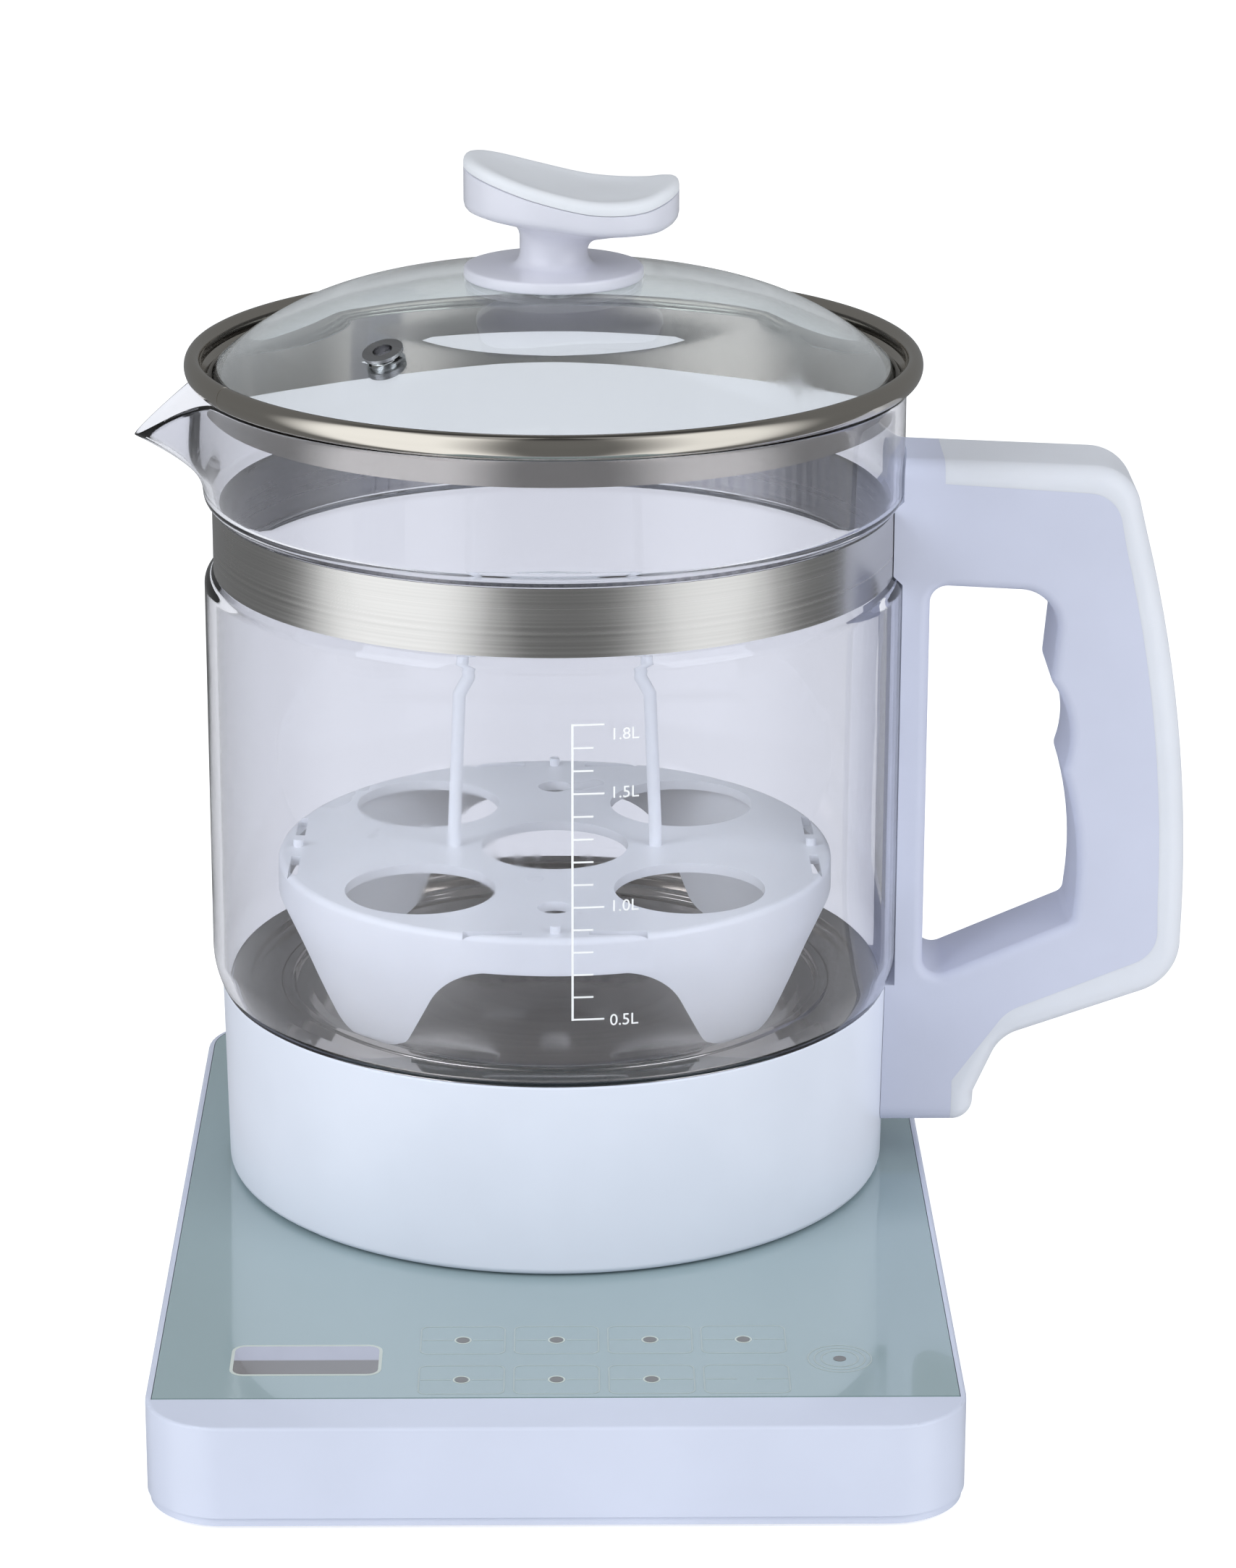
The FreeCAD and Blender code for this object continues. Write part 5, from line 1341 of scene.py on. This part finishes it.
        def pinched(angle: float, radius: float, height: float) -> tuple[float, float, float]:
            if abs(angle - seam) < self.seam_half * self.seam_floor and height > flange + self.seam_rise:
                away = Vector((radius - middle, height - level))
                away *= 1 - self.seam_depth / away.length
                radius, height = middle + away.x, level + away.y
            return radius * math.cos(angle), radius * math.sin(angle), height

        dress(lathe("lid_rolled_rim", points, shape=pinched, angles=angles), RIM, Body.LID, "lid_rim")
        ring_out, ring_in = glass_edge - self.edge_inset, glass_edge - self.edge_width
        floor, ceiling = seat + self.edge_clear, self.glass_low.z - self.edge_clear
        ring = [(ring_in, floor), (ring_out, floor), (ring_out, ceiling), (ring_in, ceiling)]
        dress(lathe("lid_ground_edge", ring, segments=self.segments), GROUND_EDGE, Body.LID)


@dataclass
class Knob:
    """Two-part knob: a round foot, a neck that opens like a funnel, and an oval dished head."""

    apex: float
    middle: float = 0.004
    half_length: float = 0.0243
    half_width: float = 0.0185
    bluntness: float = 2.5
    neck: float = 0.0077
    stem_floor: float = 0.0006
    neck_level: float = 0.0071
    neck_slope: float = -0.21
    sides: int = 144
    crease: float = 40.0
    seam: float = 0.0002
    part_line: tuple[Corner, ...] = (
        (-0.0205, 0.0248), (-0.0139, 0.0226), (-0.0046, 0.0196), (0.0070, 0.0168), (0.0144, 0.0162),
        (0.0209, 0.0167), (0.0251, 0.0180), (0.0284, 0.0195))
    under_line: tuple[Corner, ...] = (
        (-0.0205, 0.0151), (-0.0180, 0.0149), (-0.0140, 0.0146), (-0.0089, 0.0142), (0.0, 0.0133),
        (0.0080, 0.0121), (0.0164, 0.0116), (0.0234, 0.0116), (0.0284, 0.0128))
    foot_rounds: tuple[Corner, ...] = (
        (0.0179, 0.0006), (0.0189, -0.0009), (0.02, -0.0009), (0.0203, -0.0007), (0.0204, -0.0004),
        (0.0204, 0.0011), (0.0203, 0.0014), (0.0201, 0.0016), (0.0198, 0.0017), (0.0192, 0.00175),
        (0.0144, 0.0018))
    neck_rounds: tuple[Corner, ...] = (
        (0.003, 0.00185), (0.002, 0.002), (0.0013, 0.0023), (0.0007, 0.0029), (0.0002, 0.0038), (0.0, 0.005))
    funnel: tuple[Corner, ...] = (
        (0.0, 0.0), (0.0003, 0.0011), (0.0009, 0.002), (0.0019, 0.0028), (0.0031, 0.0034))
    under_rings: tuple[tuple[float, float, float], ...] = (
        (0.68, -0.0016, 0.0026), (0.82, -0.0009, 0.0033), (0.93, -0.0002, 0.004), (0.968, 0.0002, 0.004),
        (0.99, 0.0008, 0.004), (1.0, 0.0018, 0.004))
    seat_scales: tuple[float, ...] = (0.988, 0.9, 0.7, 0.4)
    cap_rings: tuple[Corner, ...] = (
        (1.0, 0.0009), (0.995, 0.0015), (0.983, 0.002), (0.965, 0.0024), (0.94, 0.0027), (0.91, 0.00285),
        (0.87, 0.0029), (0.83, 0.00282), (0.77, 0.0026), (0.68, 0.0024), (0.55, 0.0023), (0.35, 0.0022))
    cap_gap: float = 0.0001
    cap_middle: float = 0.0022

    def build(self) -> None:
        """Builds the stem and the cap."""
        self.stem()
        self.cap()

    @staticmethod
    def height_at(line: Sequence[Corner], x: float) -> float:
        """Returns the height of a smooth line through points (x, height)."""
        if x <= line[0][0]:
            return line[0][1]
        if x >= line[-1][0]:
            return line[-1][1]
        index = max(place for place in range(len(line) - 1) if line[place][0] <= x)
        last = len(line) - 1

        def slope(at: int) -> float:
            before, after = line[max(at - 1, 0)], line[min(at + 1, last)]
            return (after[1] - before[1]) / (after[0] - before[0])

        (x0, y0), (x1, y1) = line[index], line[index + 1]
        width = x1 - x0
        share = (x - x0) / width
        rest = 1 - share
        blend = share * share * (3 - 2 * share)
        bend = width * share * rest * (slope(index) * rest - slope(index + 1) * share)
        return y0 + (y1 - y0) * blend + bend

    def plan(self, angle: float, scale: float, middle: float) -> tuple[float, float]:
        """Returns a point of the head's oval outline, scaled about a middle."""
        power = 2 / self.bluntness
        cosine, sine = math.cos(angle), math.sin(angle)
        x = math.copysign(abs(cosine) ** power, cosine) * self.half_length
        y = math.copysign(abs(sine) ** power, sine) * self.half_width
        return middle + x * scale, y * scale

    def head_ring(self, form: bmesh.types.BMesh, line: Sequence[Corner], scale: float, lift: float,
                  middle: float) -> list[bmesh.types.BMVert]:
        """Adds a ring of the head.

        Args:
            form: The bmesh that is built.
            line: The line that gives each point's height.
            scale: Size of the ring as a share of the oval outline.
            lift: Height above the line.
            middle: Where the ring's middle lies along X.

        Returns:
            The ring's points.
        """
        ring = []
        for index in range(self.sides):
            x, y = self.plan(2 * math.pi * index / self.sides, scale, middle)
            ring.append(form.verts.new((x, y, self.apex + self.height_at(line, x) + lift)))
        return ring

    def round_ring(self, form: bmesh.types.BMesh, radius: float, level: float,
                   slope: float = 0.0) -> list[bmesh.types.BMVert]:
        """Adds a round ring about the axis, level or sloping along X."""
        ring = []
        for index in range(self.sides):
            angle = 2 * math.pi * index / self.sides
            x = radius * math.cos(angle)
            ring.append(form.verts.new((x, radius * math.sin(angle), self.apex + level + slope * x)))
        return ring

    def finished(self, name: str, form: bmesh.types.BMesh, rings: Sequence[Sequence[bmesh.types.BMVert]],
                 finish: Finish, node: str) -> None:
        """Joins the rings, closes both ends and dresses the piece."""
        for first, second in zip(rings, rings[1:]):
            bridge(form, first, second)
        bmesh.ops.recalc_face_normals(form, faces=form.faces)
        dress(to_object(name, form, self.crease), finish, Body.LID, node)

    def seat_height(self) -> float:
        """Returns the height of the parting line at the head's middle."""
        return self.apex + self.height_at(self.part_line, self.middle)

    def stem(self) -> None:
        """Builds foot, neck and the lower half of the head."""
        form = bmesh.new()
        rings = [[form.verts.new((0.0, 0.0, self.apex + self.stem_floor))]]
        rings += [self.round_ring(form, radius, level) for radius, level in self.foot_rounds]
        rings += [self.round_ring(form, self.neck + out, level) for out, level in self.neck_rounds]
        rings += [self.round_ring(form, self.neck + out, self.neck_level + up, self.neck_slope)
                  for out, up in self.funnel]
        rings += [self.head_ring(form, self.under_line, *ring) for ring in self.under_rings]
        rings.append(self.head_ring(form, self.part_line, 1.0, -self.seam, self.middle))
        rings += [self.head_ring(form, self.part_line, scale, 0.0, self.middle) for scale in self.seat_scales]
        rings.append([form.verts.new((self.middle, 0.0, self.seat_height()))])
        self.finished("knob_stem", form, rings, KNOB, "knob_body")

    def cap(self) -> None:
        """Builds the soft cap, dished inside a round ridge."""
        form = bmesh.new()
        levels = [(scale, self.cap_gap) for scale in reversed(self.seat_scales)]
        levels += [(1.0, self.seam), *self.cap_rings]
        rings = [[form.verts.new((self.middle, 0.0, self.seat_height() + self.cap_gap))]]
        rings += [self.head_ring(form, self.part_line, scale, lift, self.middle) for scale, lift in levels]
        rings.append([form.verts.new((self.middle, 0.0, self.seat_height() + self.cap_middle))])
        self.finished("knob_top", form, rings, KNOB_CAP, "knob_cap")


@dataclass
class EggTray:
    """Tray that holds the eggs over the water, with its lifting frame."""

    def build(self) -> None:
        """Builds the tray and its lifter."""
        dressed_copies(
            Body.TRAY,
            ("egg_tray", TRAY, "egg_holder"),
            ("lifter_frame", TRAY, "lifting_rods"),
            ("lifter_disc", TRAY, "lifting_disc"))


@dataclass
class InnerParts:
    """Everything inside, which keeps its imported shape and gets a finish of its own."""

    def build(self) -> None:
        """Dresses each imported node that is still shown."""
        for name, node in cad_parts.items():
            if node.hide_render:
                continue
            finish = SLOT_FINISHES[node.material_slots[0].material.name]
            for place in node.material_slots:
                place.material = finish.material()
            LOG.info("%s keeps its shape and wears %s", name, finish.name)


# ---------------------------------------------------------------------------------------------
# studio
# ---------------------------------------------------------------------------------------------
class Side(Enum):
    """Where a soft light stands, as its sign along X."""

    LEFT = -1
    RIGHT = 1


@dataclass
class Studio:
    """Pale floor, soft light from both sides, and the camera.

    Each softbox is the bearing of its middle, half its width, how far its edge fades, and its strength.
    """

    camera_place: tuple[float, float, float] = (-0.0002, -1.0955, 0.4728)
    camera_pitch: float = 18.068
    camera_yaw: float = 0.784
    camera_roll: float = 0.123
    lens: float = 113.03
    sensor: float = 36.0
    clip_end: float = 50.0
    floor_half: float = 6.0
    floor_roughness: float = 0.9
    floor_shades: tuple[float, float] = (0.9, 0.92)
    floor_clouding: float = 3.0
    floor_glow: float = 0.55
    floor_bounce: float = 0.04
    floor_hidden: float = 0.85
    light_distance: float = 1.5
    light_bearing: float = 52.0
    light_height: float = 0.9
    light_size: float = 0.9
    light_shape: float = 1.3
    light_aim: float = 0.12
    light_tint: Colour = (0.93, 0.97, 1.0)
    left_power: float = 11.76
    right_power: float = 9.45
    ambient: float = 0.58
    sky_tint: Colour = (0.95, 0.975, 1.0)
    gloss_base: float = 0.2
    softboxes: tuple[tuple[float, float, float, float], ...] = (
        (-0.95, 0.28, 0.5, 1.25), (0.95, 0.12, 0.55, 1.1))
    ceiling_start: float = 0.75
    ceiling_end: float = 0.95
    ceiling_share: float = 0.35

    def build(self) -> None:
        """Builds the floor, lights, surroundings and camera."""
        self.floor()
        self.light("soft_light_left", Side.LEFT, self.left_power)
        self.light("soft_light_right", Side.RIGHT, self.right_power)
        self.surroundings()
        self.camera()
        bpy.context.scene.view_settings.view_transform = "Standard"

    def floor(self) -> None:
        """Builds a plain pale floor."""
        form = bmesh.new()
        bmesh.ops.create_grid(form, x_segments=1, y_segments=1, size=self.floor_half)
        piece = to_object("floor", form)
        material = bpy.data.materials.new("pale_floor")
        material.use_nodes = True
        graph = NodeGraph(material.node_tree)
        shader = material.node_tree.nodes["Principled BSDF"]
        place = graph.add("ShaderNodeTexCoord").outputs["Object"]
        noise = graph.add("ShaderNodeTexNoise", {"Vector": place, "Scale": self.floor_clouding}).outputs[0]
        dull, pale = (shaded((shade, shade, shade), 1.0) for shade in self.floor_shades)
        graph.feed(shader.inputs["Base Color"], graph.blend(noise, dull, pale))
        shader.inputs["Roughness"].default_value = self.floor_roughness
        shader.inputs["Specular IOR Level"].default_value = 0.0
        shader.inputs["Emission Color"].default_value = (1.0, 1.0, 1.0, 1.0)
        path = graph.add("ShaderNodeLightPath").outputs
        glow = graph.ramp(path["Is Diffuse Ray"], 0.0, 1.0, self.floor_glow, self.floor_bounce)
        graph.feed(shader.inputs["Emission Strength"], glow)
        mirrored = graph.math("MULTIPLY", self.mirrored(graph, path), self.floor_hidden)
        clear = graph.add("ShaderNodeBsdfTransparent").outputs[0]
        mix = graph.add("ShaderNodeMixShader", {0: mirrored, 1: shader.outputs[0], 2: clear})
        graph.feed(material.node_tree.nodes["Material Output"].inputs["Surface"], mix.outputs[0])
        piece.data.materials.append(material)
        piece.visible_glossy = False

    @staticmethod
    def mirrored(graph: NodeGraph, path: bpy.types.NodeOutputs) -> bpy.types.NodeSocket:
        """Returns 1 for rays that gloss sends straight out or through whole glass walls, and 0 for others."""
        bounced = graph.math("GREATER_THAN", path["Glossy Depth"], 0.5)
        few = graph.math("LESS_THAN", path["Transmission Depth"], 0.5)
        many = graph.math("GREATER_THAN", path["Transmission Depth"], 3.5)
        chosen = graph.math("MULTIPLY", bounced, graph.math("MAXIMUM", few, many))
        return graph.math("MULTIPLY", chosen, graph.math("SUBTRACT", 1.0, path["Is Diffuse Ray"]))

    def light(self, name: str, side: Side, power: float) -> None:
        """Adds a large soft light that faces the object.

        Args:
            name: The light's name.
            side: The side that it stands on.
            power: Its power in watts.
        """
        lamp = bpy.data.lights.new(name, "AREA")
        lamp.shape = "RECTANGLE"
        lamp.size = self.light_size
        lamp.size_y = self.light_size * self.light_shape
        lamp.energy = power
        lamp.color = self.light_tint
        bearing = math.radians(self.light_bearing) * side.value
        place = Vector((math.sin(bearing), -math.cos(bearing), 0.0)) * self.light_distance
        place.z = self.light_height
        holder = bpy.data.objects.new(name, lamp)
        holder.location = place
        aim = Vector((0.0, 0.0, self.light_aim))
        holder.rotation_euler = (aim - place).to_track_quat("-Z", "Y").to_euler()
        holder.visible_glossy = False
        bpy.context.scene.collection.objects.link(holder)

    def surroundings(self) -> None:
        """Builds the white surroundings, in which gloss sees two softboxes with dark between them."""
        world = bpy.data.worlds.new("studio")
        world.use_nodes = True
        bpy.context.scene.world = world
        graph = NodeGraph(world.node_tree)
        heading = graph.add("ShaderNodeTexCoord").outputs["Generated"]
        way = graph.add("ShaderNodeSeparateXYZ", {0: heading}).outputs
        bearing = graph.math("ARCTAN2", way[0], graph.math("MULTIPLY", way[1], -1.0))
        glow: Value = self.gloss_base
        for centre, half, feather, strength in self.softboxes:
            off = graph.math("ABSOLUTE", graph.math("SUBTRACT", bearing, centre))
            box = graph.ramp(off, half + feather, half, 0.0, strength, smooth=True)
            glow = graph.math("ADD", glow, box)
        ceiling = graph.ramp(way[2], self.ceiling_start, self.ceiling_end, 1.0, self.ceiling_share,
                             smooth=True)
        seen = graph.math("MULTIPLY", glow, ceiling)
        path = graph.add("ShaderNodeLightPath").outputs
        mirrored = self.mirrored(graph, path)
        diffuse = graph.math("MULTIPLY", path["Is Diffuse Ray"], 1.0 - self.ambient)
        plain = graph.math("SUBTRACT", 1.0, diffuse)
        strength = graph.add("ShaderNodeMix", {0: mirrored, 2: plain, 3: seen}, data_type="FLOAT").outputs[0]
        background = world.node_tree.nodes["Background"]
        graph.feed(background.inputs["Strength"], strength)
        graph.feed(background.inputs["Color"],
                   graph.blend(path["Is Camera Ray"], shaded(self.sky_tint, 1.0), (1.0, 1.0, 1.0, 1.0)))

    def camera(self) -> None:
        """Adds the camera."""
        turns = (self.camera_pitch, self.camera_yaw, self.camera_roll)
        pitch, yaw, roll = (math.radians(angle) for angle in turns)
        ahead = Vector((math.sin(yaw) * math.cos(pitch), math.cos(yaw) * math.cos(pitch), -math.sin(pitch)))
        level = Vector((math.cos(yaw), -math.sin(yaw), 0.0))
        above = level.cross(ahead)
        right = level * math.cos(roll) + above * math.sin(roll)
        up = above * math.cos(roll) - level * math.sin(roll)
        data = bpy.data.cameras.new("camera")
        data.lens = self.lens
        data.sensor_width = self.sensor
        data.clip_end = self.clip_end
        holder = bpy.data.objects.new("camera", data)
        turn = Matrix((right, up, -ahead)).transposed().to_4x4()
        holder.matrix_world = Matrix.Translation(Vector(self.camera_place)) @ turn
        bpy.context.scene.collection.objects.link(holder)
        bpy.context.scene.camera = holder


def main() -> None:
    """Builds every sub-assembly in order."""
    logging.basicConfig(level=logging.INFO, format="%(name)s: %(message)s")
    for part in (TouchBase(), JugGlass(), JugFittings(), EggTray(), Lid(), InnerParts(), Studio()):
        LOG.info("building %s", type(part).__name__)
        part.build()


if __name__ == "__main__":
    main()
